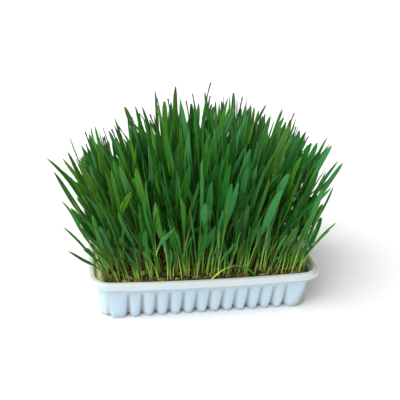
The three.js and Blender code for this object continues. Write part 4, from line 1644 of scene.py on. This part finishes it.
class WHEATGRASS_OT_bed(bpy.types.Operator):
    """Builds the soil, its crumbs and its rootlets."""

    bl_idname = "wheatgrass.bed"
    bl_label = "Bed"

    def execute(self, context):
        looks = context.scene.bed_looks
        make_piece("soil", bed_solids(), soil_finish(looks), ["sown_bed"])
        make_piece("crumbs", crumb_solids(looks), crumb_finish(looks))
        make_piece("rootlets", rootlet_solids(looks), rootlet_finish(looks))
        return {"FINISHED"}


class WHEATGRASS_OT_kernels(bpy.types.Operator):
    """Builds the sprouted kernels on the bed."""

    bl_idname = "wheatgrass.kernels"
    bl_label = "Kernels"

    def execute(self, context):
        looks = context.scene.bed_looks
        make_piece("kernels", kernel_solids(looks), kernel_finish(looks), ["sown_bed"])
        return {"FINISHED"}


class WHEATGRASS_OT_shoots(bpy.types.Operator):
    """Builds the stand of shoots, one piece for each clump."""

    bl_idname = "wheatgrass.shoots"
    bl_label = "Shoots"

    def execute(self, context):
        looks = context.scene.shoot_looks
        finish = leaf_finish(looks)
        for clump in range(COLUMNS * ROWS):
            digits = f"{clump + 1:02d}"
            solids = clump_solids(clump, looks)
            make_piece(f"shoots_{digits}", solids, finish, [f"clump_{digits}"])
        make_piece("arching_leaf", arching_solids(looks), finish)
        return {"FINISHED"}


class WHEATGRASS_OT_stage(bpy.types.Operator):
    """Builds the floor, the lights and the camera."""

    bl_idname = "wheatgrass.stage"
    bl_label = "Stage"

    def execute(self, context):
        looks = context.scene.stage_looks
        build_floor(looks)
        build_lights(context.scene, looks)
        build_camera(context.scene)
        return {"FINISHED"}


FLOOR_AROUND = 96
FLOOR_RADII = (0.5, 1, 1.5, 2)
FLOOR_SWEEP = 1.2  # radius of the curve in which it rises past its flat part, all in metres
SWEEP_STEPS = 8
SKY_TINT = (0.96, 0.98, 1, 1)
# Where each light stands, its tint and its softness.
KEY_LIGHT = ((-1.25, -0.55, 1.1), (1, 0.99, 0.97), 1.1)
FILL_LIGHT = ((0.7, -1.0, 0.5), (0.94, 0.97, 1), 0.6)


def build_floor(looks):
    """A flat round floor that rises at its edge."""
    turn = np.arange(FLOOR_AROUND) / FLOOR_AROUND * 2 * math.pi
    circle = np.column_stack([np.cos(turn), np.sin(turn), 0 * turn])
    rings = [circle * reach for reach in FLOOR_RADII]
    for rise in np.linspace(0, math.pi / 2, SWEEP_STEPS + 1)[1:]:
        out = FLOOR_RADII[-1] + FLOOR_SWEEP * math.sin(rise)
        rings.append(circle * out + [0, 0, FLOOR_SWEEP * (1 - math.cos(rise))])
    points = np.concatenate([*rings, [[0, 0, 0]]])
    inner = fan_faces(np.arange(FLOOR_AROUND), len(points) - 1)
    faces = [band_faces(len(rings), FLOOR_AROUND)[:, ::-1], inner]
    floor = add_mesh("floor", points, faces, floor_finish(looks))


def add_light(name, place, tint, softness, power):
    """A broad light that shines from a place onto the whole stage alike."""
    light = bpy.data.lights.new(name, "SUN")
    light.angle = softness
    light.energy = power
    light.color = tint
    thing = bpy.data.objects.new(name, light)
    thing.location = place
    thing.rotation_euler = (-Vector(place)).to_track_quat("-Z", "Y").to_euler()
    bpy.context.scene.collection.objects.link(thing)


def build_lights(scene, looks):
    world = bpy.data.worlds.new("surroundings")
    world.use_nodes = True
    background = world.node_tree.nodes["Background"]
    background.inputs["Color"].default_value = SKY_TINT
    background.inputs["Strength"].default_value = looks.sky
    scene.world = world
    add_light("key_light", *KEY_LIGHT, looks.key)
    add_light("fill_light", *FILL_LIGHT, looks.fill)
    scene.view_settings.view_transform = "Standard"


def build_camera(scene):
    camera = bpy.data.cameras.new("camera")
    camera.sensor_width = SENSOR
    camera.lens = CAMERA_FOCUS * SENSOR
    camera.clip_start, camera.clip_end = 0.01, 50
    thing = bpy.data.objects.new("camera", camera)
    turn = Matrix.Rotation(CAMERA_YAW, 4, "Z") @ Matrix.Rotation(math.pi / 2 - CAMERA_PITCH, 4, "X")
    turn = turn @ Matrix.Rotation(CAMERA_ROLL, 4, "Z")
    thing.matrix_world = Matrix.Translation(Vector(CAMERA_PLACE) * MM) @ turn
    scene.collection.objects.link(thing)
    scene.camera = thing


# ---- Panel and registration ----

OPERATORS = (
    WHEATGRASS_OT_tray,
    WHEATGRASS_OT_bed,
    WHEATGRASS_OT_kernels,
    WHEATGRASS_OT_shoots,
    WHEATGRASS_OT_stage,
)
LOOKS = {
    "tray_looks": TrayLooks,
    "bed_looks": BedLooks,
    "shoot_looks": ShootLooks,
    "stage_looks": StageLooks,
}


class WHEATGRASS_PT_panel(bpy.types.Panel):
    """Lists what can be built, with the sizes and colours of each."""

    bl_label = "Wheatgrass tray"
    bl_space_type = "VIEW_3D"
    bl_region_type = "UI"
    bl_category = "Wheatgrass"

    def draw(self, context):
        for operator in OPERATORS:
            self.layout.operator(operator.bl_idname)
        for name, looks in LOOKS.items():
            box = self.layout.box()
            for field in looks.__annotations__:
                box.prop(getattr(context.scene, name), field)


CLASSES = (*LOOKS.values(), *OPERATORS, WHEATGRASS_PT_panel)


def register():
    for each in CLASSES:
        bpy.utils.register_class(each)
    for name, looks in LOOKS.items():
        setattr(bpy.types.Scene, name, PointerProperty(type=looks))


def unregister():
    for name in LOOKS:
        delattr(bpy.types.Scene, name)
    for each in reversed(CLASSES):
        bpy.utils.unregister_class(each)


def main():
    register()
    bpy.ops.wheatgrass.stage()
    bpy.ops.wheatgrass.tray()
    bpy.ops.wheatgrass.bed()
    bpy.ops.wheatgrass.kernels()
    bpy.ops.wheatgrass.shoots()


if __name__ == "__main__":
    main()
